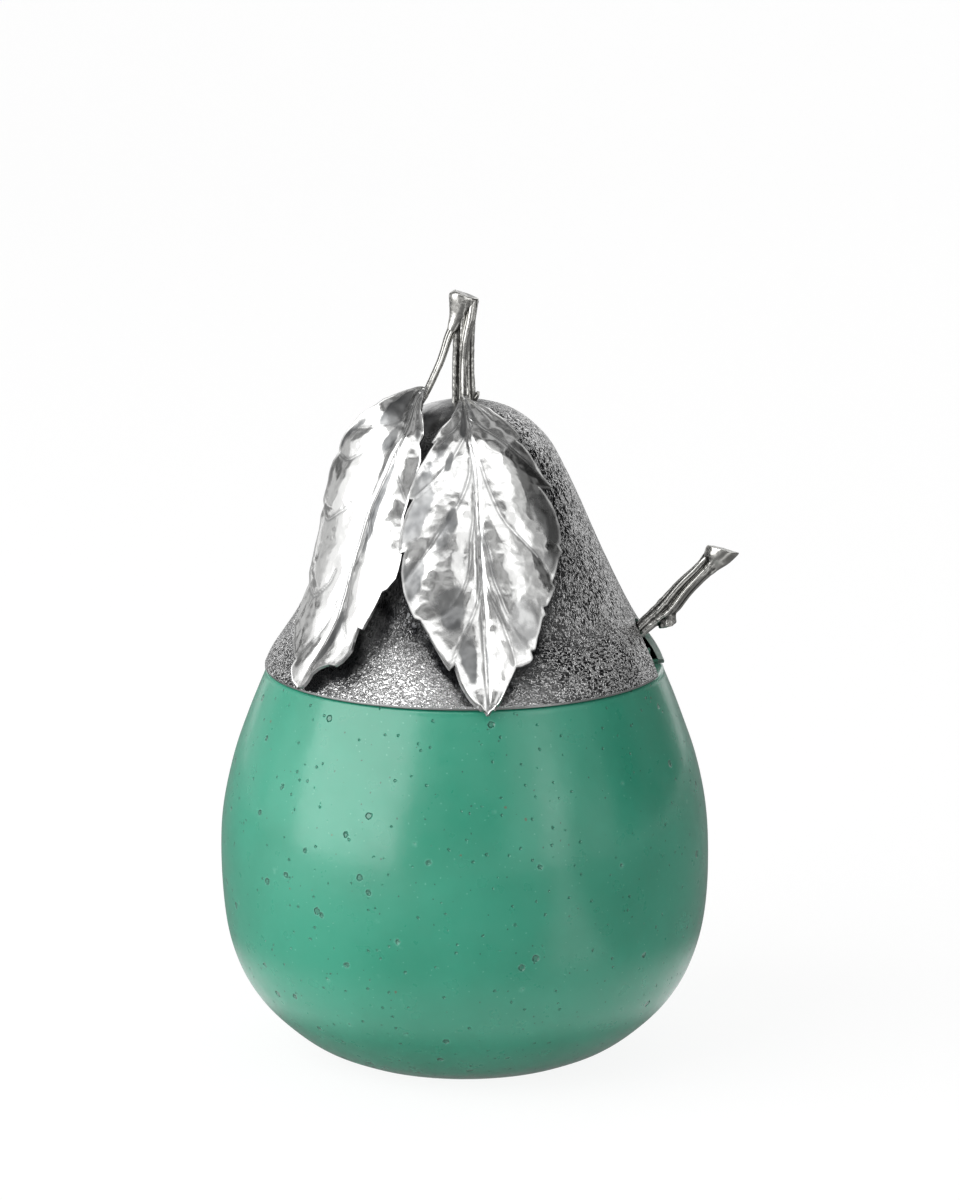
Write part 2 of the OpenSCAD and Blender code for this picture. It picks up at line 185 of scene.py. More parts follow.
# %% Small helpers for shader nodes
def add(tree, kind, inputs=None, **settings):
    """Adds a node. Inputs are plain values, or sockets to link from."""
    node = tree.nodes.new(kind)
    for key, value in settings.items():
        setattr(node, key, value)
    for key, value in (inputs or {}).items():
        if isinstance(value, bpy.types.NodeSocket):
            tree.links.new(value, node.inputs[key])
        else:
            node.inputs[key].default_value = value
    return node


def math_node(tree, operation, a, b=0.0, c=0.0, clamp=False):
    """One sum, as the output of a Math node."""
    return add(tree, "ShaderNodeMath", {0: a, 1: b, 2: c}, operation=operation,
               use_clamp=clamp).outputs[0]


def vector_node(tree, operation, a, b=(0, 0, 0), c=(0, 0, 0)):
    """One sum on vectors, as a vector, or as a number where its result is one."""
    node = add(tree, "ShaderNodeVectorMath", {0: a, 1: b, 2: c}, operation=operation)
    is_number = operation in ("LENGTH", "DISTANCE", "DOT_PRODUCT")
    return node.outputs["Value" if is_number else "Vector"]


def remap(tree, value, low, high, to_low=0.0, to_high=1.0):
    """A smooth step from one range to another."""
    return add(tree, "ShaderNodeMapRange", {"Value": value, "From Min": low, "From Max": high,
               "To Min": to_low, "To Max": to_high}, interpolation_type="SMOOTHSTEP").outputs[0]


def blend_colours(tree, share, a, b, how="MIX"):
    """Two colours mixed by a share. Colours are sockets or (r, g, b)."""
    node = add(tree, "ShaderNodeMix", data_type="RGBA", blend_type=how)
    for socket, value in ((node.inputs[0], share), (node.inputs[6], a), (node.inputs[7], b)):
        if isinstance(value, bpy.types.NodeSocket):
            tree.links.new(value, socket)
        else:
            socket.default_value = (*value, 1) if isinstance(value, tuple) else value
    return node.outputs[2]


def new_material(name):
    """An empty material and its node tree, with the output node already in it."""
    material = bpy.data.materials.new(name)
    material.use_nodes = True
    material.node_tree.nodes.clear()
    add(material.node_tree, "ShaderNodeOutputMaterial")
    return material, material.node_tree


def stored(tree, label):
    """The number that a piece keeps for each vertex under a label."""
    return add(tree, "ShaderNodeAttribute", attribute_name=label).outputs["Fac"]


def own_place(tree):
    """Where a point lies on the object, in metres."""
    return add(tree, "ShaderNodeTexCoord").outputs["Object"]


def show(tree, shader):
    """Links a shader to the material's output."""
    out = next(n for n in tree.nodes if n.bl_idname == "ShaderNodeOutputMaterial")
    tree.links.new(shader.outputs[0], out.inputs["Surface"])

# %% Floor and backdrop in one sheet
FLOOR_COLOUR = (0.86, 0.86, 0.86, 1)
OWN_WHITE_SHARE, OWN_WHITE = 0.84, 1.07


def seen_or_mirrored(tree):
    """1 for camera rays and for rays off or through something shiny, otherwise 0."""
    path = add(tree, "ShaderNodeLightPath")
    mirrored = math_node(tree, "MAXIMUM", path.outputs["Is Glossy Ray"],
                         path.outputs["Is Transmission Ray"])
    return math_node(tree, "MAXIMUM", path.outputs["Is Camera Ray"], mirrored)


deselect_all()
bpy.ops.mesh.primitive_plane_add(size=4, location=(0, -0.4, 0))
backdrop = named("studio_sheet")
edit(backdrop, "EDGE")
bpy.ops.mesh.select_all(action="DESELECT")
bpy.ops.object.mode_set(mode="OBJECT")
for side in backdrop.data.edges:
    side.select = all(backdrop.data.vertices[v].co.y > 1 for v in side.vertices)
bpy.ops.object.mode_set(mode="EDIT")
bpy.ops.mesh.extrude_region_move(TRANSFORM_OT_translate={"value": (0, 0, 2.6)})
bpy.ops.object.mode_set(mode="OBJECT")
for side in backdrop.data.edges:
    ends = [backdrop.data.vertices[v].co for v in side.vertices]
    side.select = all(end.y > 1 and end.z < 0.1 for end in ends)
bpy.ops.object.mode_set(mode="EDIT")
bpy.ops.mesh.bevel(offset=0.5, segments=24, profile=0.5)
settle(backdrop)
bpy.ops.object.shade_smooth()

sheet_material, tree = new_material("studio_white")
diffuse = add(tree, "ShaderNodeBsdfDiffuse", {"Color": FLOOR_COLOUR})
own = add(tree, "ShaderNodeEmission", {"Color": (1, 1, 1, 1), "Strength": OWN_WHITE})
share = math_node(tree, "MULTIPLY", seen_or_mirrored(tree), OWN_WHITE_SHARE)
show(tree, add(tree, "ShaderNodeMixShader", {0: share, 1: diffuse.outputs[0], 2: own.outputs[0]}))
backdrop.data.materials.append(sheet_material)
print("studio sheet reaches", [round(v, 2) for v in backdrop.dimensions], "m")

# %% [markdown]
# Silver has no colour of its own to speak of. It shows the room. In the photo a large soft
# lamp stands at the front left, a narrow one at the front right, and the right side and the
# top are dark. So the lamps are placed like that, and cards in greys stand where the room is
# dimmer. Only what shines sees the cards, so they take no light away from the glaze. One card
# lies on the floor, because the belly of the jar mirrors the lit floor round the foot.

# %% Lamps, cards and the world
STUDIO_CENTRE = Vector((0, 0, 70)) * MM
STRIP_TURN = 43
FLOOR_CARD, FLOOR_TONE = 1.5, 0.25


def direction(turn, rise):
    """The way from the pot at an angle from the front towards the right, and above the floor."""
    turn, rise = math.radians(turn), math.radians(rise)
    return Vector((math.sin(turn) * math.cos(rise), -math.cos(turn) * math.cos(rise),
                   math.sin(rise)))


def lamp(name, turn, rise, away, width, height, brightness):
    """A soft rectangular lamp that faces the pot, as bright as a white card times brightness."""
    data = bpy.data.lights.new(name, "AREA")
    data.shape = "RECTANGLE"
    data.size, data.size_y = width, height
    data.energy = brightness * math.pi * width * height
    piece = bpy.data.objects.new(name, data)
    bpy.context.collection.objects.link(piece)
    piece.location = STUDIO_CENTRE + direction(turn, rise) * away
    piece.rotation_euler = direction(turn, rise).to_track_quat("Z", "Y").to_euler()
    return piece


def card(name, turn, rise, away, width, height, tone, patches=0.0, size=4.0):
    """A dull card that only reflections see, with cloudy patches lighter and darker than its
    tone. The larger the size number, the smaller the patches."""
    deselect_all()
    bpy.ops.mesh.primitive_plane_add(size=1)
    piece = named(name)
    piece.scale = (width, height, 1)
    piece.rotation_euler = direction(turn, rise).to_track_quat("Z", "Y").to_euler()
    piece.location = STUDIO_CENTRE + direction(turn, rise) * away
    material, tree = new_material(name)
    cloud = add(tree, "ShaderNodeTexNoise", {"Vector": own_place(tree), "Scale": size,
                "Detail": 1.0}).outputs["Fac"]
    strength = remap(tree, cloud, 0.38, 0.62, tone * (1 - patches), tone * (1 + patches))
    show(tree, add(tree, "ShaderNodeEmission", {"Color": (1, 1, 1, 1), "Strength": strength}))
    piece.data.materials.append(material)
    piece.visible_camera = piece.visible_diffuse = piece.visible_shadow = False
    return piece


lamps = [lamp(*values) for values in (
    ("key_lamp", -59, 26, 1.0, 1.10, 1.25, 2.4),
    ("strip_lamp", STRIP_TURN, 8, 1.0, 0.24, 0.70, 1.2),
    ("back_lamp", 158, 30, 1.3, 0.4, 0.9, 1.0))]
cards = [card(*values) for values in (
    ("card_front", -4, 8, 1.6, 1.5, 1.8, 0.36, 0.6, 3.0),
    ("card_high", 6, 54, 1.3, 1.5, 0.74, 1.30, 0.3, 3.0),
    ("card_side", 62, 14, 1.2, 0.55, 1.8, 0.62, 0.4, 3.0),
    ("card_right", 110, 22, 1.3, 2.3, 2.6, 0.09, 0.9, 5.0),
    ("card_top", 180, 68, 1.1, 2.4, 1.7, 0.30, 0.7, 5.0),
    ("card_left", -134, 10, 1.5, 1.3, 1.7, 0.36, 0.7, 4.0),
    ("card_floor", 0, 90, 1.0, FLOOR_CARD, FLOOR_CARD, FLOOR_TONE, 0.3))]
floor_card = cards[-1]
floor_card.location = (0, 0, 0.4 * MM)
floor_card.rotation_euler = (0, 0, 0)

# The floor's light as the jar mirrors it: a ring close to the foot, a glow below the large
# lamp, and a line towards the narrow one
tree = floor_card.active_material.node_tree
glow = next(node for node in tree.nodes if node.bl_idname == "ShaderNodeEmission")
spot = vector_node(tree, "MULTIPLY", own_place(tree), (FLOOR_CARD, FLOOR_CARD, 0))
from_foot = vector_node(tree, "LENGTH", spot)
ring = math_node(tree, "MULTIPLY", remap(tree, from_foot, 36 * MM, 47 * MM),
                 remap(tree, from_foot, 56 * MM, 90 * MM, 1.0, 0.0))
left = remap(tree, vector_node(tree, "DISTANCE", spot, (-0.40, -0.24, 0)), 0.20, 0.44, 1.0, 0.0)
turn = math.radians(STRIP_TURN)
aside = vector_node(tree, "DOT_PRODUCT", spot, (math.cos(turn), math.sin(turn), 0))
ahead = vector_node(tree, "DOT_PRODUCT", spot, (math.sin(turn), -math.cos(turn), 0))
line = math_node(tree, "MULTIPLY", remap(tree, math_node(tree, "ABSOLUTE", aside), 8 * MM,
                 34 * MM, 1.0, 0.0), remap(tree, ahead, 66 * MM, 100 * MM))
strength = FLOOR_TONE
for light, brightness in ((ring, 0.55), (left, 0.80), (line, 0.90)):
    strength = math_node(tree, "MULTIPLY_ADD", light, brightness, strength)
tree.links.new(strength, glow.inputs["Strength"])

world = bpy.data.worlds.new("studio_air")
bpy.context.scene.world = world
world.use_nodes = True
tree = world.node_tree
tree.nodes.clear()
AIR_TONE = 0.46
tone = math_node(tree, "ADD", math_node(tree, "MULTIPLY", seen_or_mirrored(tree), 1 - AIR_TONE),
                 AIR_TONE)
air = add(tree, "ShaderNodeBackground", {"Color": (1, 1, 1, 1), "Strength": tone})
tree.links.new(air.outputs[0], add(tree, "ShaderNodeOutputWorld").inputs["Surface"])
print(len(lamps), "lamps and", len(cards), "cards")

# %% [markdown]
# Nearly every piece here is either turned or swept. A turned piece, such as the jar, is a line
# drawn in one half of a section and spun round the axis. That is what the potter's wheel and
# the silversmith's lathe do, and it keeps every section truly round.
#
# The line itself comes from a few shares of the piece's radius and height, joined by a smooth
# curve that passes through them, the same ones that the CAD model is drawn from.

# %% Smooth curves through points
def spline(points, u):
    """Points on a smooth curve through the given ones. u runs from 0 to 1, and beyond it the
    curve goes on straight."""
    points = np.asarray(points, float)
    u = np.asarray(u, float)
    last = len(points) - 1
    x = u * last
    i = np.clip(np.floor(x), 0, last - 1).astype(int)
    t = np.clip(x - i, 0, 1)[..., None]
    a, b = points[np.maximum(i - 1, 0)], points[i]
    c, d = points[i + 1], points[np.minimum(i + 2, last)]
    on = (2 * b + (c - a) * t + (2 * a - 5 * b + 4 * c - d) * t ** 2
          + (3 * b - a - 3 * c + d) * t ** 3) / 2
    before = np.minimum(x, 0)[..., None] * (points[1] - points[0])
    after = np.maximum(x - last, 0)[..., None] * (points[last] - points[last - 1])
    return on + before + after


def outward(points, u):
    """The direction square to a flat curve, on its right-hand side as u grows."""
    step = spline(points, u + 0.002) - spline(points, u - 0.002)
    step /= np.linalg.norm(step, axis=-1, keepdims=True)
    return np.stack([step[..., 1], -step[..., 0]], -1)


def quarter(centre, radius, start, end, steps=6):
    """Points of a part of a circle, between two angles in degrees."""
    return [(centre[0] + radius * math.cos(math.radians(start + (end - start) * i / steps)),
             centre[1] + radius * math.sin(math.radians(start + (end - start) * i / steps)))
            for i in range(steps + 1)]

# %% Turning a section on the axis
def turned(name, section, turns):
    """Spins a line of (radius, height) points round the Z axis."""
    deselect_all()
    bpy.ops.mesh.primitive_plane_add(size=MM)
    piece = named(name)
    edit(piece)
    bpy.ops.mesh.merge(type="CENTER")
    bpy.ops.transform.translate(value=(section[0][0], 0, section[0][1]))
    for here, there in zip(section, section[1:]):
        step = (there[0] - here[0], 0, there[1] - here[1])
        bpy.ops.mesh.extrude_vertices_move(TRANSFORM_OT_translate={"value": step})
    bpy.ops.mesh.select_all(action="SELECT")
    bpy.ops.mesh.spin(steps=turns, angle=math.tau, center=(0, 0, 0), axis=(0, 0, 1))
    bpy.ops.mesh.select_all(action="SELECT")
    bpy.ops.mesh.remove_doubles(threshold=0.002 * MM)
    return settle(piece)


def closed(section):
    """The section with its first point again at the end."""
    return section + section[:1]

# %% [markdown]
# ## The jar
#
# A thrown stoneware jar has a full belly, a narrow unglazed foot, a shoulder for the lid to
# stand on and a collar that keeps it there. It could be a sphere pulled into shape, but then
# foot, shoulder and wall would be guesses. Drawing the whole section, inside and out, and
# spinning it gives them all at once. A hand at the wheel leaves it a little uneven, so the
# outside then gets a swell of less than a tenth of a millimetre.

# %% Sizes that the jar and the lid share
jar_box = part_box("jar")
band_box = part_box("rim_band")
shell_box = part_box("lid_shell")
JAR_R = jar_box[1].x
SEAT_GAP = 0.1 * MM
SHOULDER_Z = band_box[0].z - SEAT_GAP
RIM_R = shell_box[1].y
SHELL_Z, DOME_Z = shell_box[0].z, shell_box[1].z
LID_H = DOME_Z - SHELL_Z
FOOT_R, FOOT_RING_W, FOOT_RECESS = 23 * MM, 4 * MM, 1.2 * MM
WALL, FLOOR = 4.5 * MM, 5.5 * MM
MOUTH_R, MOUTH_DEPTH, COLLAR_W = 30 * MM, 3.5 * MM, 3 * MM
ROUND = 0.8 * MM
COLLAR_R, COLLAR_Z = MOUTH_R + COLLAR_W, jar_box[1].z
print("belly", round(JAR_R / MM, 2), "shoulder at", round(SHOULDER_Z / MM, 2),
      "lid radius", round(RIM_R / MM, 2))

# %% Turn the jar
jar_shares = [(0.640, 0.036), (0.755, 0.090), (0.855, 0.155), (0.930, 0.235), (0.980, 0.340),
              (1.000, 0.480), (0.993, 0.625), (0.950, 0.762), (0.884, 0.883)]
jar_line = np.array([(FOOT_R, 0)] + [(r * JAR_R, z * SHOULDER_Z) for r, z in jar_shares]
                    + [(RIM_R, SHOULDER_Z - ROUND)])
OUTSIDE_STEPS, INSIDE_STEPS, JAR_TURNS = 104, 44, 288
IN_CAD, BELLY_IN_CAD = 0.9995, 0.9996 * JAR_R

outside = spline(jar_line, np.linspace(0, 1, OUTSIDE_STEPS + 1))
share = np.linspace(0, 1, INSIDE_STEPS + 1)
inside = spline(jar_line, share) - WALL * outward(jar_line, share)
inside = [tuple(q) for q in inside
          if FLOOR + ROUND < q[1] < SHOULDER_Z - MOUTH_DEPTH - WALL][::-1]
section = ([(0, FOOT_RECESS), (FOOT_R - FOOT_RING_W - 0.4 * MM, FOOT_RECESS),
            (FOOT_R - FOOT_RING_W, 0.3 * MM), (FOOT_R - FOOT_RING_W + 0.3 * MM, 0)]
           + [(FOOT_R - 0.5 * MM, 0)] + [tuple(q) for q in outside[1:]]
           + quarter((RIM_R - ROUND, SHOULDER_Z - ROUND), ROUND, 15, 90)
           + [(COLLAR_R, SHOULDER_Z)]
           + quarter((COLLAR_R - ROUND, COLLAR_Z - ROUND), ROUND, 0, 90)
           + quarter((MOUTH_R + ROUND, COLLAR_Z - ROUND), ROUND, 90, 180)
           + [(MOUTH_R, SHOULDER_Z - MOUTH_DEPTH)] + inside
           + [(inside[-1][0] - WALL / 2, FLOOR), (0, FLOOR)])
jar_piece = turned("glazed_jar", [(IN_CAD * r, z) for r, z in section], JAR_TURNS)

points = points_of(jar_piece)
radius = np.hypot(points[:, 0], points[:, 1])
turn = np.arctan2(points[:, 1], points[:, 0])
height = points[:, 2] / SHOULDER_Z
WAVER = 0.07 * MM
swell = (np.sin(2 * turn + 1.0 + 3 * height) + 0.6 * np.sin(3 * turn + 2.2 - 5 * height)
         + 0.5 * np.sin(19 * height + turn))
outer_skin = np.interp(points[:, 2], outside[:, 1], outside[:, 0]) - radius < 0.2 * MM
fade = np.clip((0.93 - height) / 0.1, 0, 1) * np.clip(height / 0.06, 0, 1) * outer_skin
points[:, :2] *= (1 + WAVER * swell * fade / np.maximum(radius, MM))[:, None]
points[:, :2] = np.clip(points[:, :2], -BELLY_IN_CAD, BELLY_IN_CAD)
move_points(jar_piece, points)
finish_mesh(jar_piece)
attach(jar_piece, "jar")
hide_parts("jar")

# %% [markdown]
# ## The lid
#
# The lid is a dome raised from sheet silver. The dome is turned like the jar, and then each
# vertex of its outside is pushed in by its distance from the nearest of a few hundred hammer
# marks. The fine ground that a punch left over them is about half a millimetre wide. It is
# left to the material, because it would need millions of faces. The notch for the spoon is cut
# with a boolean modifier, as a saw would cut it.

# %% Hammer marks
RANDOM = np.random.default_rng(7)


def hammer(points, spacing, area, depth):
    """How far each point is pushed in by soft round marks of a hammer."""
    count = int(area / spacing ** 2)
    marks = points[RANDOM.choice(len(points), count, replace=count > len(points))]
    tree = KDTree(count)
    for index, mark in enumerate(marks):
        tree.insert(Vector(mark), index)
    tree.balance()
    away = np.array([tree.find(Vector(point))[2] for point in points])
    return -depth * np.clip(1 - (away / (0.75 * spacing)) ** 2, 0, 1)

# %% The notch's cutter
NOTCH_H, NOTCH_TURN = 10.4 * MM, math.radians(7)

# The notch's outline: across it from the front, and above the shoulder
notch_line = [(v[0] * MM, v[1] * MM) for v in (
    (-5.9, -1.0), (-5.9, 1.4), (-5.2, 3.4), (-4.0, 5.2), (-2.8, 6.6), (-2.1, 7.8), (-1.8, 8.6),
    (-1.2, 9.1), (-0.4, 9.4), (0.9, 9.5), (2.8, 9.1), (4.4, 8.0), (5.4, 6.4), (5.9, 4.6),
    (5.9, -1.0))]


def cut_notch(piece):
    """Saws the spoon's notch out of a piece of the lid. It is open downwards, and close to the
    handle at the top."""
    deselect_all()
    bpy.ops.mesh.primitive_circle_add(vertices=len(notch_line), fill_type="NGON")
    saw = named("saw")
    move_points(saw, [(MOUTH_R, across, SHOULDER_Z + above) for across, above in notch_line])
    edit(saw, "FACE")
    bpy.ops.mesh.extrude_region_move(TRANSFORM_OT_translate={"value": (RIM_R / 2, 0, 0)})
    bpy.ops.mesh.select_all(action="SELECT")
    bpy.ops.mesh.normals_make_consistent(inside=False)
    pick(saw)
    saw.rotation_euler = (0, 0, -NOTCH_TURN)
    combine(piece, settle(saw), "DIFFERENCE")

# %% Turn and hammer the dome
lid_shares = [(1.000, 0.000), (0.965, 0.055), (0.858, 0.174), (0.763, 0.310), (0.678, 0.448),
              (0.597, 0.586), (0.518, 0.716), (0.417, 0.852), (0.278, 0.947), (0.136, 0.988),
              (0.000, 1.000)]
lid_line = np.array([(r * RIM_R, SHELL_Z + z * LID_H) for r, z in lid_shares])
SHEET = 1.0 * MM
DOME_STEPS, LINING_STEPS, DOME_TURNS = 120, 36, 336

outside = spline(lid_line, np.linspace(0, 1, DOME_STEPS + 1))
outside[-1] = (0, DOME_Z)
share = np.linspace(0, 1, LINING_STEPS + 1)[1:-1]
lining = spline(lid_line, share) - SHEET * outward(lid_line, share)
lining = [tuple(q) for q in lining if q[1] > SHELL_Z + 0.5 * MM][::-1]
section = ([tuple(q) for q in outside] + [(0, DOME_Z - SHEET)] + lining
           + [(RIM_R - SHEET, SHELL_Z)])
dome = turned("lid_dome", closed(section), DOME_TURNS)
points = points_of(dome)
radius = np.hypot(points[:, 0], points[:, 1])
skin_r = np.interp(points[:, 2], outside[:, 1], outside[:, 0])
on_skin = (np.abs(radius - skin_r) < 0.05 * MM) & (radius > 0.5 * MM)
DOME_AREA = 2 * math.pi * RIM_R * 0.62 * LID_H * 1.25
dent = np.zeros(len(points))
dent[on_skin] = hammer(points[on_skin], 2.6 * MM, DOME_AREA, 0.05 * MM)
dent *= np.clip((points[:, 2] - SHELL_Z) / (1.5 * MM), 0, 1)
points[:, :2] *= (1 + dent / np.maximum(radius, 0.1 * MM))[:, None]
move_points(dome, points)
cut_notch(dome)
finish_mesh(dome)
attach(dome, "lid")
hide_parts("lid_shell")

# %% [markdown]
# The dome's edge is finished with a plain band, which shows as a thin bright line. Inside it
# a flat bearer stands on the jar's shoulder, and a bezel on the bearer slips over the collar.
# Both are turned too, with rounded edges so that they catch the light.

# %% Turn the plain band, the bearer and its bezel
BAND_R = band_box[1].y
BAND_LOW, BAND_HIGH = band_box[0].z, band_box[1].z
EDGE = 0.25 * MM
section = ([(RIM_R - SHEET, BAND_HIGH), (RIM_R - SHEET, BAND_LOW)]
           + quarter((BAND_R - EDGE, BAND_LOW + EDGE), EDGE, -90, 0)
           + quarter((BAND_R - EDGE, BAND_HIGH - EDGE), EDGE, 0, 90))
lip = turned("lid_lip", closed(section), 288)
cut_notch(lip)
finish_mesh(lip)
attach(lip, "lid")
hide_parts("rim_band")

BEZEL_R, BEZEL_T, BEZEL_H = COLLAR_R + 0.4 * MM, 0.8 * MM, 2.8 * MM
section = ([(BEZEL_R, BAND_LOW), (RIM_R - SHEET, BAND_LOW), (RIM_R - SHEET, SHELL_Z),
            (BEZEL_R + BEZEL_T, SHELL_Z), (BEZEL_R + BEZEL_T, BAND_LOW + BEZEL_H - EDGE)]
           + quarter((BEZEL_R + BEZEL_T - EDGE, BAND_LOW + BEZEL_H - EDGE), EDGE, 0, 90)
           + quarter((BEZEL_R + EDGE, BAND_LOW + BEZEL_H - EDGE), EDGE, 90, 180))
bearer = turned("lid_bearer", closed(section), 192)
cut_notch(bearer)
finish_mesh(bearer)
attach(bearer, "lid")
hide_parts("seat_ring")

# %% [markdown]
# ## Twigs and stems
#
# The twig, both stems and the spoon's handle are castings of real pear twigs: they taper,
# swell at the knots, and have flutes along them. Each starts as a straight many-sided column,
# extruded ring by ring. The rings are then set along a curved path, and each vertex moves in
# or out for the flutes. A curve with a bevel would bend as well, but it can't carry flutes.

# %% Casting a twig along a path
def column(name, sides, rings):
    """A closed upright column of radius 1, one unit high for each ring."""
    deselect_all()
    bpy.ops.mesh.primitive_circle_add(vertices=sides, radius=1, fill_type="NGON")
    piece = named(name)
    edit(piece, "FACE")
    for _ in range(rings):
        bpy.ops.mesh.extrude_region_move(TRANSFORM_OT_translate={"value": (0, 0, 1)})
    pick(piece)
    return piece


def swept(name, path, radius, radius_shares, side, sides, rings, carve=None):
    """A column bent along a path. carve(u, angle) gives what a vertex's radius is times."""
    piece = column(name, sides, rings)
    points = points_of(piece)
    u = np.clip(np.round(points[:, 2]) / rings, 0, 1)
    angle = np.arctan2(points[:, 1], points[:, 0])
    centre = spline(path, u)
    ahead = spline(path, u + 0.003) - spline(path, u - 0.003)
    ahead /= np.linalg.norm(ahead, axis=1, keepdims=True)
    across = np.cross(ahead, np.array(side, float))
    across /= np.linalg.norm(across, axis=1, keepdims=True)
    up = np.cross(across, ahead)
    table = np.array([(share, 0) for share in radius_shares])
    r = radius * spline(table, u)[:, 0]
    if carve:
        r = r * carve(u, angle)
    points = centre + r[:, None] * (np.cos(angle)[:, None] * across
                                    + np.sin(angle)[:, None] * up)
    move_points(piece, points)
    return piece


def flutes(u, angle, marks):
    """Grooves and ridges along a twig. A mark is (angle in degrees at the start, drift along
    the twig, width in degrees, depth as a share of the radius), with ridges below zero."""
    out = np.ones_like(angle)
    for start, drift, width, depth in marks:
        off = np.degrees(angle) - start - drift * u
        off = (off + 180) % 360 - 180
        out -= depth * np.exp(-(off / width) ** 2)
    return out


def cut_end(piece, at, facing, rim, dish):
    """Saws a twig off square to facing, and hollows the cut a little inside its rim."""
    edit(piece)
    bpy.ops.mesh.bisect(plane_co=at, plane_no=facing, use_fill=True, clear_outer=True)
    bpy.ops.mesh.select_mode(type="FACE")
    bpy.ops.mesh.inset(thickness=rim, depth=-dish, use_even_offset=False)
    bpy.ops.mesh.inset(thickness=rim, depth=0, use_even_offset=False)
    pick(piece)


def melt(piece, grain=0.13 * MM):
    """Remeshes a casting finely and rounds its edges and joints."""
    modify(piece, "REMESH", mode="VOXEL", voxel_size=grain)
    modify(piece, "SMOOTH", factor=0.5, iterations=4)


def uneven_at(points, size, start, rough):
    """Smooth noise at each point, with detail of the given size and roughness (H, gap)."""
    return np.array([noise.fractal(Vector(p) / size + Vector((start, 0, 0)), *rough, 3)
                     for p in points])


def roughen(piece, size, depth, start=0.0, where=None):
    """Small uneven swellings like those of bark, square to the surface."""
    points = points_of(piece)
    push = uneven_at(points, size, start, (1.0, 2.0))
    if where is not None:
        push *= where(points)
    move_points(piece, points + depth * push[:, None] * read(piece.data.vertices, "normal"))

# %% The twig on the lid
TWIG_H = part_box("twig")[1].z - DOME_Z
TWIG_TOP = DOME_Z + TWIG_H
TWIG_R = 2.05 * MM
twig_path = [(0, 0, DOME_Z - 1.6 * MM),
             (-0.12 * TWIG_R, 0, DOME_Z + 0.18 * TWIG_H),
             (-0.10 * TWIG_R, 0, DOME_Z + 0.50 * TWIG_H),
             (0.02 * TWIG_R, 0, DOME_Z + 0.80 * TWIG_H),
             (0.10 * TWIG_R, 0, TWIG_TOP)]
twig_radius_shares = [1.36, 1.16, 1.08, 1.04, 1.04, 1.08, 1.26, 1.26]
twig_marks = [(222, 6, 11, 0.20), (250, -14, 9, -0.10), (266, -10, 8, 0.24), (285, -6, 8, -0.07),
              (303, -4, 8, 0.22), (322, 0, 12, -0.08), (345, 4, 14, 0.16), (20, 10, 16, 0.18),
              (62, -8, 14, 0.22), (100, 6, 12, 0.16), (140, -6, 15, 0.20), (182, 8, 14, 0.14)]


def rounded_off(u, end, reach):
    """What a twig's radius is times where its sawn end is worn round."""
    near = np.clip(1 - np.abs(end - u) / reach, 0, 1)
    return np.sqrt(1 - 0.72 * near ** 2)


def carve_twig(u, angle):
    """The twig's flutes, which run out in the knot at its top."""
    fade = np.clip((0.94 - u) / 0.25, 0, 1) * np.clip(u / 0.08, 0.3, 1)
    return (1 + (flutes(u, angle, twig_marks) - 1) * fade) * rounded_off(u, 1, 0.07)


twig = swept("pear_twig", twig_path, TWIG_R, twig_radius_shares, (0, 1, 0), 96, 150, carve_twig)
bud_path = [(0.7 * TWIG_R, -0.4 * TWIG_R, DOME_Z),
            (1.1 * TWIG_R, -0.5 * TWIG_R, DOME_Z + 0.8 * MM),
            (1.2 * TWIG_R, -0.5 * TWIG_R, DOME_Z + 1.8 * MM)]
combine(twig, swept("bud", bud_path, TWIG_R, [0.22, 0.20, 0.14], (0, 1, 0), 24, 10), "UNION")
fork_path = [(-0.26 * TWIG_R, -0.12 * TWIG_R, TWIG_TOP - 0.1 * MM),
             (-0.26 * TWIG_R, -0.22 * TWIG_R, TWIG_TOP - 2.0 * MM),
             (-0.55 * TWIG_R, -0.36 * TWIG_R, TWIG_TOP - 4.6 * MM),
             (-1.22 * TWIG_R, -0.66 * TWIG_R, TWIG_TOP - 7.6 * MM)]
fork = swept("fork", fork_path, TWIG_R, [1.16, 1.16, 0.84, 0.40], (0, 1, 0), 64, 40,
             lambda u, angle: rounded_off(u, 0, 0.16))
combine(twig, fork, "UNION")
cut_end(twig, (-1.4 * MM, 0, TWIG_TOP - 0.25 * MM), (0.32, 0.05, 0.94), 0.6 * MM, 0.2 * MM)
melt(twig)
soften(twig, points_of(twig)[:, 2] > TWIG_TOP - 3.2 * MM, 46)
roughen(twig, 1.6 * MM, 0.06 * MM)
points = points_of(twig)
points[:, 2] = np.minimum(points[:, 2], TWIG_TOP - 0.02 * MM)
move_points(twig, points)
finish_mesh(twig, 50)
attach(twig, "lid")
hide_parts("twig")

# %% [markdown]
# ## The leaves
#
# A silversmith saws each leaf from sheet, chases the veins into it from the front, and
# swells the parts between them over a stake. The same order works here. A flat grid is cut
# along the leaf's outline. Then each vertex goes to its place over the dome, which three
# lines give: the left edge, the midrib and the right edge. On the way it sinks in the veins,
# beside a fine thread that stays up, rises between them and takes the marks of the planishing
# hammer. At last Solidify gives the sheet its thickness. Cutting comes first, because an
# outline is easy to follow on the flat.

# %% Lines that lay a leaf over the dome
LEAF_LIFT = 8 * MM


def over_dome(place):
    """Points over the dome. A place is a share of the way up the dome's outline, an angle from
    the front towards the right, and how far off the dome, as a share of LEAF_LIFT."""
    flat = spline(lid_line, place[:, 0])
    flat = flat + (place[:, 2] * LEAF_LIFT)[:, None] * outward(lid_line, np.maximum(place[:, 0], 0))
    turn = np.radians(place[:, 1])
    return np.stack([flat[:, 0] * np.sin(turn), -flat[:, 0] * np.cos(turn), flat[:, 1]], 1)


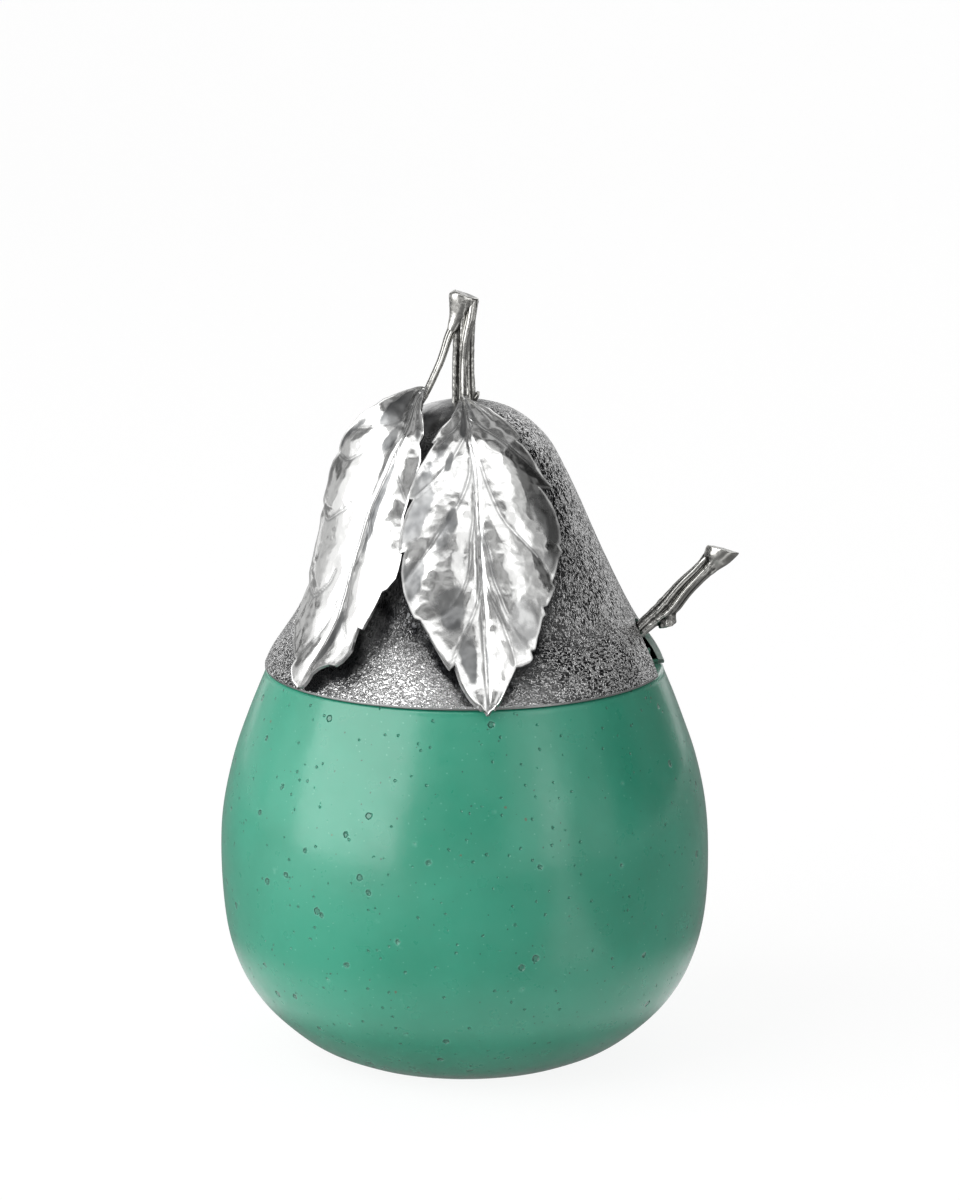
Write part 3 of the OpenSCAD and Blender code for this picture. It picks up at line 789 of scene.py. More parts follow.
def leaf_points(leaf, s, t):
    """Points of the smooth leaf: s from the stem to the tip, t from -1 over 0 at the midrib
    to 1."""
    left, middle, right = (spline(leaf[rail], s) for rail in ("left", "middle", "right"))
    edge = np.where((t > 0)[:, None], right, left)
    w = np.abs(t)
    place = middle + (edge - middle) * w[:, None]
    body = np.sin(math.pi * np.clip(s, 0, 1) ** 0.8)
    swell = np.where(t < 0, leaf["swell"][0], leaf["swell"][1])
    place[:, 2] += swell / LEAF_LIFT * body * np.sin(math.pi * np.clip(w, 0, 1.2))
    return over_dome(place)

# %% The front leaf: its lines, outline and veins
front_leaf = {
    "name": "leaf_front", "node": "front_leaf", "swell": (0.2 * MM, 1.1 * MM), "seed": 3,
    "left": [(0.87, -6, 0.33), (0.73, -19, 0.33), (0.59, -25, 0.48), (0.43, -25, 0.58),
             (0.28, -19, 0.50), (0.13, -2, 0.24), (-0.05, 5.6, 0.15)],
    "middle": [(0.89, -2, 0.33), (0.78, 2, 0.30), (0.69, 3, 0.32), (0.59, 4.5, 0.37),
               (0.45, 5.5, 0.36), (0.27, 6.5, 0.28), (-0.06, 6.3, 0.15)],
    "right": [(0.88, 3, 0.33), (0.74, 36, 0.27), (0.59, 45, 0.28), (0.44, 43, 0.28),
              (0.31, 33, 0.26), (0.13, 15, 0.19), (-0.05, 7, 0.15)],
    "outline": [(0.0, -0.2), (0.06, -0.45), (0.12, -0.66), (0.145, -0.90), (0.185, -0.95),
                (0.198, -0.96), (0.206, -0.88), (0.235, -0.92), (0.275, -0.99), (0.34, -0.98),
                (0.362, -0.97), (0.37, -0.90), (0.395, -0.94), (0.432, -0.97), (0.482, -0.98),
                (0.508, -0.98), (0.514, -0.91), (0.527, -0.93), (0.565, -0.95), (0.615, -0.95),
                (0.655, -0.94), (0.688, -0.94), (0.700, -0.90), (0.733, -0.92), (0.77, -0.98),
                (0.797, -1.02), (0.812, -1.03), (0.814, -0.92), (0.823, -0.95), (0.85, -1.02),
                (0.885, -1.04), (0.93, -1.05), (0.97, -1.0), (1.0, 0.0), (0.97, 0.9),
                (0.93, 0.88), (0.897, 0.87), (0.848, 0.92), (0.822, 0.93), (0.812, 1.00),
                (0.796, 1.07), (0.786, 1.08), (0.778, 1.00), (0.771, 1.04), (0.75, 0.98),
                (0.715, 0.93), (0.706, 0.95), (0.696, 0.89), (0.688, 0.93), (0.662, 0.94),
                (0.637, 0.96), (0.630, 0.91), (0.598, 0.92), (0.552, 0.93), (0.522, 0.98),
                (0.508, 0.94), (0.497, 0.96), (0.443, 0.96), (0.393, 0.93), (0.365, 0.88),
                (0.349, 0.83), (0.331, 1.04), (0.322, 1.03), (0.305, 0.97), (0.27, 0.94),
                (0.242, 0.90), (0.225, 0.86), (0.217, 0.80), (0.197, 0.94), (0.17, 0.98),
                (0.135, 1.06), (0.09, 1.10), (0.04, 0.70), (0.0, 0.25)],
    # Painted shade on the leaf: each patch's place, its reach in s and t, and how dark it is
    "painted_shade": [(0.16, -0.13, 0.12, 0.13, 1.1), (0.13, 0.16, 0.08, 0.10, 0.8),
             (0.24, -0.60, 0.06, 0.22, 0.75), (0.40, -0.84, 0.13, 0.28, 1.1),
             (0.31, -0.40, 0.04, 0.10, 1.1), (0.60, -0.92, 0.06, 0.24, 1.2),
             (0.55, -0.46, 0.07, 0.16, 0.75), (0.73, -0.55, 0.06, 0.28, 0.95),
             (0.84, -0.60, 0.05, 0.24, 1.1), (0.43, 0.86, 0.09, 0.26, 1.1),
             (0.57, 0.90, 0.05, 0.16, 0.9), (0.75, 0.76, 0.06, 0.28, 1.0),
             (0.88, 0.08, 0.07, 0.20, 0.75), (0.52, -0.34, 0.06, 0.09, 0.95)],
    # Each vein: its points, its depth and half its width in mm, the height of the thread in it
    "veins": [([(0, 0), (0.263, 0.01), (0.367, 0.05), (0.517, 0.03), (0.665, 0.01), (0.782, 0),
                (0.89, 0), (0.985, 0)], 0.22, 0.58, 0.15),
              ([(0.30, 0.02), (0.348, 0.12), (0.425, 0.17), (0.495, 0.25), (0.535, 0.34),
                (0.56, 0.52), (0.585, 0.72), (0.63, 0.93)], 0.09, 0.42, 0.07),
              ([(0.15, 0.06), (0.20, 0.30), (0.233, 0.51), (0.263, 0.69), (0.285, 0.86),
                (0.328, 1.0)], 0.08, 0.42, 0.07),
              ([(0.54, 0.02), (0.618, 0.07), (0.66, 0.13), (0.708, 0.2), (0.735, 0.31),
                (0.758, 0.5), (0.765, 0.79), (0.772, 1.0)], 0.08, 0.42, 0.07),
              ([(0.69, 0.01), (0.743, 0.06), (0.772, 0.26), (0.787, 0.49), (0.805, 0.76),
                (0.82, 0.91)], 0.08, 0.42, 0.07),
              ([(0.36, 0), (0.417, -0.04), (0.47, -0.17), (0.50, -0.33), (0.522, -0.46),
                (0.545, -0.60), (0.593, -0.93)], 0.08, 0.42, 0.07),
              ([(0.50, 0), (0.58, -0.04), (0.623, -0.10), (0.68, -0.15), (0.715, -0.26),
                (0.73, -0.54), (0.705, -0.88)], 0.08, 0.42, 0.07),
              ([(0.73, 0), (0.765, -0.06), (0.785, -0.19), (0.795, -0.49), (0.802, -0.79),
                (0.81, -0.98)], 0.08, 0.42, 0.07),
              ([(0.10, -0.05), (0.17, -0.30), (0.20, -0.62), (0.206, -0.88)], 0.08, 0.42, 0.07),
              ([(0.22, -0.03), (0.29, -0.25), (0.34, -0.58), (0.37, -0.90)], 0.08, 0.42, 0.07)]}

# %% The left leaf: its lines, outline and veins
left_leaf = {
    "name": "leaf_left", "node": "left_leaf", "swell": (1.0 * MM, 0.8 * MM), "seed": 5,
    "left": [(0.84, -56, 0.66), (0.74, -54, 0.98), (0.65, -70, 0.88), (0.51, -73, 0.68),
             (0.36, -75, 0.36), (0.16, -66, 0.19), (0.00, -53.5, 0.16)],
    "middle": [(0.85, -50, 0.62), (0.73, -37, 0.63), (0.65, -38, 0.66), (0.54, -42, 0.64),
               (0.42, -44, 0.54), (0.23, -46, 0.36), (-0.01, -52.5, 0.16)],
    "right": [(0.84, -44, 0.60), (0.74, -28, 0.51), (0.64, -24, 0.43), (0.49, -24, 0.40),
              (0.35, -25, 0.48), (0.13, -37, 0.38), (0.00, -51.5, 0.16)],
    "outline": [(0.0, -0.4), (0.08, -0.92), (0.14, -1.10), (0.168, -1.09), (0.22, -1.15),
                (0.273, -1.07), (0.333, -1.00), (0.35, -0.94), (0.383, -0.98), (0.438, -0.93),
                (0.497, -0.91), (0.515, -0.85), (0.545, -0.92), (0.60, -0.87), (0.66, -0.84),
                (0.698, -0.86), (0.72, -0.80), (0.76, -0.91), (0.787, -0.97), (0.835, -0.90),
                (0.873, -0.72), (0.885, -0.60), (0.90, -0.72), (0.95, -0.62), (1.0, 0.0),
                (0.965, 0.62), (0.935, 0.60), (0.905, 0.47), (0.885, 0.56), (0.858, 0.76),
                (0.843, 0.94), (0.823, 1.0), (0.800, 0.98), (0.788, 0.86), (0.768, 0.80),
                (0.763, 0.90), (0.738, 0.89), (0.715, 0.88), (0.692, 0.87), (0.682, 0.93),
                (0.672, 0.95), (0.652, 1.0), (0.623, 0.99), (0.583, 0.98), (0.535, 0.94),
                (0.47, 0.87), (0.422, 0.90), (0.393, 0.92), (0.352, 0.97), (0.302, 1.03),
                (0.265, 0.98), (0.247, 0.90), (0.208, 1.02), (0.16, 1.0), (0.125, 0.94),
                (0.110, 0.86), (0.06, 0.9), (0.0, 0.4)],
    "painted_shade": [(0.14, -0.45, 0.10, 0.34, 1.2), (0.25, -0.14, 0.09, 0.12, 0.9),
             (0.48, 0.22, 0.20, 0.11, 1.15), (0.28, -0.98, 0.10, 0.14, 0.8),
             (0.44, -0.92, 0.08, 0.14, 0.7), (0.66, -0.88, 0.10, 0.14, 0.6),
             (0.84, 0.22, 0.08, 0.22, 0.9), (0.20, 0.80, 0.08, 0.18, 0.6),
             (0.36, 0.95, 0.10, 0.10, 0.5)],
    "veins": [([(0, 0), (0.133, 0.1), (0.29, 0.01), (0.445, 0.03), (0.593, 0.04), (0.71, 0.01),
                (0.80, 0.02), (0.87, 0), (0.97, 0)], 0.20, 0.56, 0.15),
              ([(0.22, 0.03), (0.297, 0.22), (0.36, 0.24), (0.455, 0.16), (0.62, 0.16),
                (0.73, 0.05)], 0.08, 0.42, 0.07),
              ([(0.52, 0.03), (0.58, 0.25), (0.64, 0.53), (0.685, 0.88)], 0.08, 0.42, 0.07),
              ([(0.70, 0.03), (0.77, 0.2), (0.795, 0.42), (0.80, 0.7), (0.79, 0.88)],
               0.09, 0.42, 0.07),
              ([(0.28, 0.03), (0.34, 0.3), (0.39, 0.6), (0.43, 0.88)], 0.08, 0.42, 0.07),
              ([(0.10, -0.03), (0.18, -0.3), (0.24, -0.7), (0.268, -1.06)], 0.10, 0.42, 0.07),
              ([(0.30, -0.38), (0.338, -0.5), (0.362, -0.66), (0.352, -0.94)], 0.09, 0.42, 0.07),
              ([(0.50, -0.30), (0.527, -0.38), (0.558, -0.66), (0.518, -0.86)], 0.08, 0.42, 0.07),
              ([(0.71, -0.24), (0.738, -0.33), (0.753, -0.58), (0.72, -0.82)], 0.08, 0.42, 0.07),
              ([(0.74, -0.02), (0.80, -0.12), (0.85, -0.3), (0.884, -0.6)], 0.08, 0.42, 0.07)]}

# %% Sawing, chasing and planishing a leaf
FLAT_WIDTH, FLAT_LENGTH = 15 * MM, 60 * MM
WIDEST = 1.18
ACROSS, ALONG = 184, 300
LEAF_SHEET = 0.5 * MM


def inside_outline(x, y, outline):
    """Which of the points lie inside a closed outline."""
    inside = np.zeros(len(x), bool)
    for (x1, y1), (x2, y2) in zip(outline, np.roll(outline, -1, axis=0)):
        crosses = (y1 > y) != (y2 > y)
        with np.errstate(divide="ignore", invalid="ignore"):
            inside ^= crosses & (x < (x2 - x1) * (y - y1) / (y2 - y1) + x1)
    return inside


def nearest_on_outline(points, outline):
    """The nearest place on a closed outline to each point."""
    best = np.full(len(points), np.inf)
    place = points.copy()
    for a, b in zip(outline, np.roll(outline, -1, axis=0)):
        line = b - a
        along = np.clip(((points - a) @ line) / max(line @ line, 1e-18), 0, 1)
        near = a + along[:, None] * line
        away = np.linalg.norm(points - near, axis=1)
        closer = away < best
        best[closer], place[closer] = away[closer], near[closer]
    return place


def sawn_sheet(leaf):
    """A flat grid cut along the leaf's outline, with its cut edge drawn onto the outline."""
    deselect_all()
    bpy.ops.mesh.primitive_grid_add(x_subdivisions=ACROSS, y_subdivisions=ALONG, size=1,
                                    location=(0, FLAT_LENGTH / 2, 0))
    piece = named(leaf["name"])
    piece.scale = (2 * WIDEST * FLAT_WIDTH, FLAT_LENGTH, 1)
    settle(piece)
    outline = np.array([(t * FLAT_WIDTH, s * FLAT_LENGTH) for s, t in leaf["outline"]])
    centres = read(piece.data.polygons, "center")
    outside = ~inside_outline(centres[:, 0], centres[:, 1], outline)
    edit(piece, "FACE")
    bpy.ops.mesh.select_all(action="DESELECT")
    bpy.ops.object.mode_set(mode="OBJECT")
    piece.data.polygons.foreach_set("select", outside)
    bpy.ops.object.mode_set(mode="EDIT")
    bpy.ops.mesh.delete(type="FACE")
    pick(piece)
    uses = np.zeros(len(piece.data.edges), int)
    np.add.at(uses, read(piece.data.loops, "edge_index", 1, int)[:, 0], 1)
    rim = np.unique(read(piece.data.edges, "vertices", 2, int)[uses == 1])
    points = points_of(piece)
    points[rim, :2] = nearest_on_outline(points[rim, :2], outline)
    move_points(piece, points)
    return piece


# Where each leaf's list of faces comes to its sawn edge: after the two sides of the sheet
sawn_from = {}


def chased_leaf(leaf):
    """Lays a sawn sheet over the dome, with its veins, swellings and hammer marks."""
    piece = sawn_sheet(leaf)
    flat = points_of(piece)
    s, t = flat[:, 1] / FLAT_LENGTH, flat[:, 0] / FLAT_WIDTH
    here = leaf_points(leaf, s, t)
    step = 0.004
    along = leaf_points(leaf, s + step, t) - leaf_points(leaf, s - step, t)
    across = leaf_points(leaf, s, t + step) - leaf_points(leaf, s, t - step)
    normal = np.cross(across, along)
    normal /= np.maximum(np.linalg.norm(normal, axis=1, keepdims=True), 1e-12)
    outwards = here * (1, 1, 0.3) - np.array((0, 0, 0.3 * SHELL_Z))
    normal *= np.sign((normal * outwards).sum(1))[:, None]

    height = np.zeros(len(s))
    groove = np.zeros(len(s))
    nearest = np.full(len(s), 1.0)
    for line, depth, width, thread in leaf["veins"]:
        u = np.linspace(0, 1, 90)
        on = spline(np.array(line, float), u)
        vein = leaf_points(leaf, on[:, 0], on[:, 1])
        away = np.full(len(s), 1.0)
        place = np.zeros(len(s))
        for k in range(len(u) - 1):
            span = vein[k + 1] - vein[k]
            along_span = np.clip(((here - vein[k]) @ span) / max(span @ span, 1e-18), 0, 1)
            reach = np.linalg.norm(here - vein[k] - along_span[:, None] * span, axis=1)
            closer = reach < away
            away[closer], place[closer] = reach[closer], u[k]
        fade = np.clip((1.04 - place) / 0.25, 0, 1) ** 0.7
        shape = np.exp(-(away / (width * MM)) ** 2) * fade
        ridge = np.exp(-(away / (0.34 * width * MM)) ** 2) * fade
        height += MM * (thread * ridge - depth * shape)
        groove = np.maximum(groove, shape - (1.1 * ridge if thread else 0))
        nearest = np.minimum(nearest, away + (1 - fade) * 2 * MM)
    height += leaf["pucker"] * (1 - np.exp(-(nearest / (2.0 * MM)) ** 2))
    edge = np.abs(t)
    height += leaf["curl"] * np.clip(edge - 0.70, 0, 1) ** 2 * 11
    height += leaf["waver"] * uneven_at(here, 6.5 * MM, leaf["seed"], (1.1, 2.2))
    outline = np.array([(t * FLAT_WIDTH, s * FLAT_LENGTH) for s, t in leaf["outline"]])
    inwards = np.linalg.norm(flat[:, :2] - nearest_on_outline(flat[:, :2], outline), axis=1)
    lip_mask = np.exp(-(inwards / (0.28 * MM)) ** 2)
    height += 0.10 * MM * lip_mask
    # Painted shade in the listed patches, stored for the material
    painted_shade = np.zeros(len(s))
    for at_s, at_t, reach_s, reach_t, strength in leaf["painted_shade"]:
        spot = ((s - at_s) / reach_s) ** 2 + ((t - at_t) / reach_t) ** 2
        painted_shade = np.maximum(painted_shade, strength * np.exp(-spot))
    points = here + height[:, None] * normal
    dents = hammer(points, 2.3 * MM, 1000 * MM ** 2, leaf["dent"])
    points += (dents * (1 - groove))[:, None] * normal
    move_points(piece, points)
    for label, values in (("groove", groove), ("rim", lip_mask), ("painted_shade", painted_shade)):
        store(piece, label, values)

    if piece.data.polygons[0].normal.dot(Vector(normal[0])) < 0:
        edit(piece)
        bpy.ops.mesh.flip_normals()
    sawn_from[piece.name] = 2 * len(piece.data.polygons)
    modify(piece, "SOLIDIFY", thickness=LEAF_SHEET, offset=-1)
    bpy.ops.object.shade_smooth_by_angle(angle=math.radians(50))
    print(leaf["name"], "has", triangles(piece), "triangles")
    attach(piece, "lid")
    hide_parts(leaf["node"])
    return piece


for leaf in (front_leaf, left_leaf):
    leaf.update(pucker=0.20 * MM, curl=0.3 * MM, dent=0.05 * MM, waver=0.24 * MM)
leaf_pieces = [chased_leaf(leaf) for leaf in (front_leaf, left_leaf)]

# %% The stems, which run on under the leaves as ribs
STALK_R = 0.9 * MM
stalk_radius_shares = [1.00, 1.04, 0.92, 0.80, 0.76, 0.70, 0.50]


def under(leaf, s):
    """A point just under a leaf's midrib."""
    place = spline(leaf["middle"], np.array([s]))
    place[:, 2] -= (0.7 * MM + 0.4 * STALK_R) / LEAF_LIFT
    return tuple(over_dome(place)[0])


left_path = [(-0.50 * TWIG_R, -0.30 * TWIG_R, TWIG_TOP - 0.20 * TWIG_H),
             (-0.84 * TWIG_R, -0.46 * TWIG_R, TWIG_TOP - 0.30 * TWIG_H),
             (-1.42 * TWIG_R, -0.78 * TWIG_R, TWIG_TOP - 0.42 * TWIG_H),
             (-2.15 * TWIG_R, -1.40 * TWIG_R, TWIG_TOP - 0.63 * TWIG_H),
             under(left_leaf, 0.02), under(left_leaf, 0.10), under(left_leaf, 0.18)]
front_path = [(0.75 * TWIG_R, -0.45 * TWIG_R, TWIG_TOP - 0.09 * TWIG_H),
              (0.55 * TWIG_R, -0.95 * TWIG_R, TWIG_TOP - 0.24 * TWIG_H),
              (0.10 * TWIG_R, -1.10 * TWIG_R, TWIG_TOP - 0.45 * TWIG_H),
              (-0.12 * TWIG_R, -1.20 * TWIG_R, TWIG_TOP - 0.70 * TWIG_H),
              under(front_leaf, 0.01), under(front_leaf, 0.09), under(front_leaf, 0.18)]
stem_marks = [(200, 10, 16, 0.22), (255, -8, 14, 0.24), (310, 6, 16, 0.20), (30, 0, 20, 0.16),
              (110, 5, 20, 0.18)]


def carve_stem(u, angle):
    """Flutes that are deepest in the stem's free part."""
    return 1 + (flutes(u, angle, stem_marks) - 1) * np.sin(math.pi * np.clip(u, 0, 1)) ** 0.5


stems = []
for name, node, path, side in (("stem_left", "left_stalk", left_path, (0, 1, 0)),
                               ("stem_front", "front_stalk", front_path, (1, 0, 0))):
    stem = swept(name, path, STALK_R, stalk_radius_shares, side, 64, 160, carve_stem)
    melt(stem, 0.11 * MM)
    roughen(stem, 1.2 * MM, 0.03 * MM)
    finish_mesh(stem, 50)
    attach(stem, "lid")
    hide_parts(node)
    stems.append(stem)

# %% [markdown]
# ## The spoon
#
# The handle is a cast twig: a knot with the stub of a side shoot, two long flutes, and a
# flared end where the twig was sawn off on the slant. It is swept in the spoon's own frame,
# with X along the handle, and only then turned to lean in the jar. Two castings that grow into
# each other are welded with a boolean union and then remeshed finely, which rounds the joint
# as the wax for a casting would be rounded.

# %% The spoon's own frame
SPOON_SLOPE = math.radians(45)
REST_X, REST_Z = 28.9615 * MM, 76.7385 * MM
BOWL_TIP, BOWL_L, BOWL_W, BOWL_DEPTH, BOWL_T = (v * MM for v in (-89.516, 37, 24, 5.5, 0.9))
BOWL_HEEL = BOWL_TIP + BOWL_L
NOTCH_X, HANDLE_OUT, HANDLE_R = 6.019 * MM, 19.5 * MM, 1.5 * MM


def lean(piece):
    """Turns a piece from the spoon's frame to its place in the jar."""
    points = points_of(piece)
    cos, sin = math.cos(SPOON_SLOPE), math.sin(SPOON_SLOPE)
    x = points[:, 0] * cos - points[:, 2] * sin + REST_X
    z = points[:, 0] * sin + points[:, 2] * cos + REST_Z
    cos, sin = math.cos(NOTCH_TURN), math.sin(NOTCH_TURN)
    move_points(piece, np.stack([x * cos + points[:, 1] * sin,
                                 points[:, 1] * cos - x * sin, z], 1))

# %% Cast the handle
def along_handle(share):
    """A place outside the lid, as a share of the handle's length there."""
    return NOTCH_X + share * HANDLE_OUT


handle_path = [(BOWL_HEEL - 0.16 * BOWL_L, 0, -0.12 * BOWL_DEPTH),
               (BOWL_HEEL + 0.20 * BOWL_L, 0, -0.02 * BOWL_DEPTH),
               (along_handle(-1.40), 0, 0), (along_handle(-0.60), 0, 0),
               (along_handle(0), 0, 0), (along_handle(0.28), 0, -0.02 * HANDLE_OUT),
               (along_handle(0.52), 0, 0), (along_handle(0.74), 0, 0),
               (along_handle(0.88), 0, 0.0), (along_handle(0.98), 0, 0.01 * HANDLE_OUT),
               (along_handle(1.14), 0, 0.02 * HANDLE_OUT)]
handle_radius_shares = [0.62, 0.74, 0.86, 0.94, 1.02, 1.36, 1.26, 1.16, 1.36, 1.76, 1.90]
handle_marks = [(262, 40, 12, 0.34), (238, 40, 8, -0.10), (290, 38, 8, -0.12), (204, 30, 10, 0.12),
                (318, 30, 9, 0.16), (0, 40, 14, 0.10), (70, 30, 16, 0.16), (120, 40, 14, 0.14)]


def carve_handle(u, angle):
    """The handle's flutes, shallow inside the lid and gone at the flare."""
    fade = np.clip((u - 0.30) / 0.2, 0.15, 1) * np.clip((0.86 - u) / 0.12, 0, 1)
    return 1 + (flutes(u, angle - math.radians(40) * (u - 0.7), handle_marks) - 1) * fade


handle = swept("spoon_twig", handle_path, HANDLE_R, handle_radius_shares, (0, 1, 0), 72, 230,
               carve_handle)
shoot_path = [(along_handle(0.30), 0, 0.1 * HANDLE_R), (along_handle(0.23), 0, -0.95 * HANDLE_R),
              (along_handle(0.14), 0, -2.1 * HANDLE_R), (along_handle(0.08), 0, -2.8 * HANDLE_R)]
shoot = swept("shoot", shoot_path, HANDLE_R, [1.06, 1.04, 1.10, 1.15], (0, 1, 0), 48, 30,
              lambda u, angle: flutes(u, angle, [(250, 0, 22, 0.14), (300, 0, 16, -0.08)]))
cut_end(shoot, (along_handle(0.14), 0, -1.85 * HANDLE_R), (-0.45, 0, -0.89), 0.3 * MM, 0.15 * MM)
combine(handle, shoot, "UNION")
END_SLANT = math.radians(31)
cut_end(handle, (along_handle(1.056), 0, 0.015 * HANDLE_OUT),
        (math.cos(END_SLANT), 0.16, math.sin(END_SLANT)), 0.4 * MM, 0.25 * MM)
melt(handle)


def near_knots(points):
    """1 near the side shoot and under the flare, and little elsewhere."""
    x = (points[:, 0] - NOTCH_X) / HANDLE_OUT
    return 0.15 + np.exp(-((x - 0.22) / 0.16) ** 2) + 1.1 * np.exp(-((x - 0.86) / 0.10) ** 2)


roughen(handle, 1.5 * MM, 0.10 * MM, 4.0, near_knots)
soften(handle, points_of(handle)[:, 0] > along_handle(0.88), 34)
lean(handle)
points = points_of(handle)
points[:, 0] = np.minimum(points[:, 0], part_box("spoon_handle")[1].x - 0.02 * MM)
move_points(handle, points)
finish_mesh(handle, 45)
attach(handle, "spoon")
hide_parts("spoon_handle")

# %% [markdown]
# The bowl doesn't show in the photo, because it lies in the jam, but it does when the spoon is
# lifted out. It is an oval dish: a grid whose half width and depth follow two smooth curves.
# Solidify makes the sheet, and a subdivision surface rounds its rim.

# %% Raise the bowl
BOWL_ROWS, BOWL_COLUMNS = 44, 28
ENDS_SHARE = 0.012
deselect_all()
bpy.ops.mesh.primitive_grid_add(x_subdivisions=BOWL_ROWS, y_subdivisions=BOWL_COLUMNS, size=1)
bowl = named("spoon_dish")
points = points_of(bowl)
v = ENDS_SHARE + (1 - 2 * ENDS_SHARE) * (points[:, 0] + 0.5)
t = 2 * points[:, 1]
half_share = np.sin(math.pi * v ** 0.86) ** 0.62
rim_rise = 0.10 * BOWL_W * (v - 0.45) ** 2
dish = BOWL_DEPTH * half_share ** 0.8 * (1 - 0.55 * t ** 4 - 0.45 * t ** 2)
move_points(bowl, np.stack([BOWL_TIP + BOWL_L * v, t * half_share * BOWL_W / 2,
                            rim_rise - dish], 1))
modify(bowl, "SOLIDIFY", thickness=BOWL_T, offset=-1)
modify(bowl, "SUBSURF", levels=1, render_levels=1)
lean(bowl)
finish_mesh(bowl, 60)
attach(bowl, "spoon")
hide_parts("spoon_bowl")

# %% [markdown]
# ## Finishes
#
# All the silver is one metal in several states: polished, chased, or left dark in the hollows
# where the polishing cloth doesn't reach. What these share is made once, as node groups. One
# darkens the colour by how deep a place lies, which gives the tarnish in the hollows, and it
# also paints shade where a material adds a shade mask to that depth. The other gives the small
# dents and fine scratches of handwork, as a height. Each material then has its own shader.

# %% Node groups that the silver finishes share
def new_group(name, inputs, outputs):
    """A node group with its sockets, and its input and output nodes."""
    group = bpy.data.node_groups.new(name, "ShaderNodeTree")
    for label, kind, value in inputs:
        socket = group.interface.new_socket(label, in_out="INPUT", socket_type=kind)
        socket.default_value = value
    for label, kind in outputs:
        group.interface.new_socket(label, in_out="OUTPUT", socket_type=kind)
    return group, group.nodes.new("NodeGroupInput").outputs, group.nodes.new("NodeGroupOutput")


FLOAT, COLOUR, VECTOR = "NodeSocketFloat", "NodeSocketColor", "NodeSocketVector"

tarnish_and_shade, given, result = new_group(
    "tarnish_and_shade",
    [("Vector", VECTOR, (0, 0, 0)), ("Bright", COLOUR, (0.9, 0.9, 0.88, 1)),
     ("Dark", COLOUR, (0.06, 0.06, 0.058, 1)), ("Depth", FLOAT, 0.0), ("Amount", FLOAT, 1.0),
     ("Polish", FLOAT, 0.15), ("Dullness", FLOAT, 0.4)],
    [("Color", COLOUR), ("Roughness", FLOAT)])
cloud = add(tarnish_and_shade, "ShaderNodeTexNoise", {"Vector": given["Vector"], "Scale": 140.0,
            "Detail": 3.0, "Roughness": 0.6}).outputs["Fac"]
tarnish_and_shade_amount = math_node(tarnish_and_shade, "MULTIPLY", given["Depth"], given["Amount"])
spread = remap(tarnish_and_shade, cloud, 0.35, 0.75, 0.85, 1.15)
tarnish_and_shade_amount = math_node(tarnish_and_shade, "MULTIPLY", tarnish_and_shade_amount, spread, clamp=True)
result_colour = blend_colours(tarnish_and_shade, tarnish_and_shade_amount, given["Bright"], given["Dark"])
veil = remap(tarnish_and_shade, cloud, 0.3, 0.7, 0.93, 1.0)
grey_veil = add(tarnish_and_shade, "ShaderNodeCombineColor", {0: veil, 1: veil, 2: veil}).outputs[0]
result_colour = blend_colours(tarnish_and_shade, 1.0, result_colour, grey_veil, "MULTIPLY")
rough = add(tarnish_and_shade, "ShaderNodeMapRange", {"Value": tarnish_and_shade_amount, "To Min": given["Polish"],
            "To Max": given["Dullness"]}).outputs[0]
rough = math_node(tarnish_and_shade, "ADD", rough, remap(tarnish_and_shade, cloud, 0.3, 0.7, 0.0, 0.05))
tarnish_and_shade.links.new(result_colour, result.inputs["Color"])
tarnish_and_shade.links.new(rough, result.inputs["Roughness"])

handwork, given, result = new_group(
    "handwork",
    [("Vector", VECTOR, (0, 0, 0)), ("Dent size", FLOAT, 2.0 * MM), ("Dents", FLOAT, 0.5),
     ("Scratches", FLOAT, 0.1)],
    [("Height", FLOAT)])
per_metre = math_node(handwork, "DIVIDE", 1.0, given["Dent size"])
wobble = add(handwork, "ShaderNodeTexNoise", {"Vector": given["Vector"], "Scale": 400.0,
             "Detail": 2.0}).outputs["Color"]
wobbled = vector_node(handwork, "MULTIPLY_ADD", wobble, (0.6 * MM,) * 3, given["Vector"])
dents = add(handwork, "ShaderNodeTexVoronoi", {"Vector": wobbled, "Scale": per_metre,
            "Smoothness": 0.35}, feature="SMOOTH_F1").outputs["Distance"]
dents = math_node(handwork, "MULTIPLY", dents, given["Dents"])
fine = add(handwork, "ShaderNodeTexNoise", {"Vector": given["Vector"], "Scale": 2600.0,
           "Detail": 2.0}).outputs["Fac"]
fine = math_node(handwork, "MULTIPLY", fine, given["Scratches"])
handwork.links.new(math_node(handwork, "ADD", dents, fine), result.inputs["Height"])
print("node groups:", [group.name for group in bpy.data.node_groups])


def place_group(tree, group, inputs):
    """A node group placed in a material with its own values."""
    node = tree.nodes.new("ShaderNodeGroup")
    node.node_tree = group
    for key, value in inputs.items():
        if isinstance(value, bpy.types.NodeSocket):
            tree.links.new(value, node.inputs[key])
        else:
            node.inputs[key].default_value = value
    return node.outputs


def show_metal(tree, colour, roughness, normal):
    """The shader that all the silver has."""
    show(tree, add(tree, "ShaderNodeBsdfPrincipled", {"Base Color": colour, "Metallic": 1.0,
         "Roughness": roughness, "Normal": normal}))


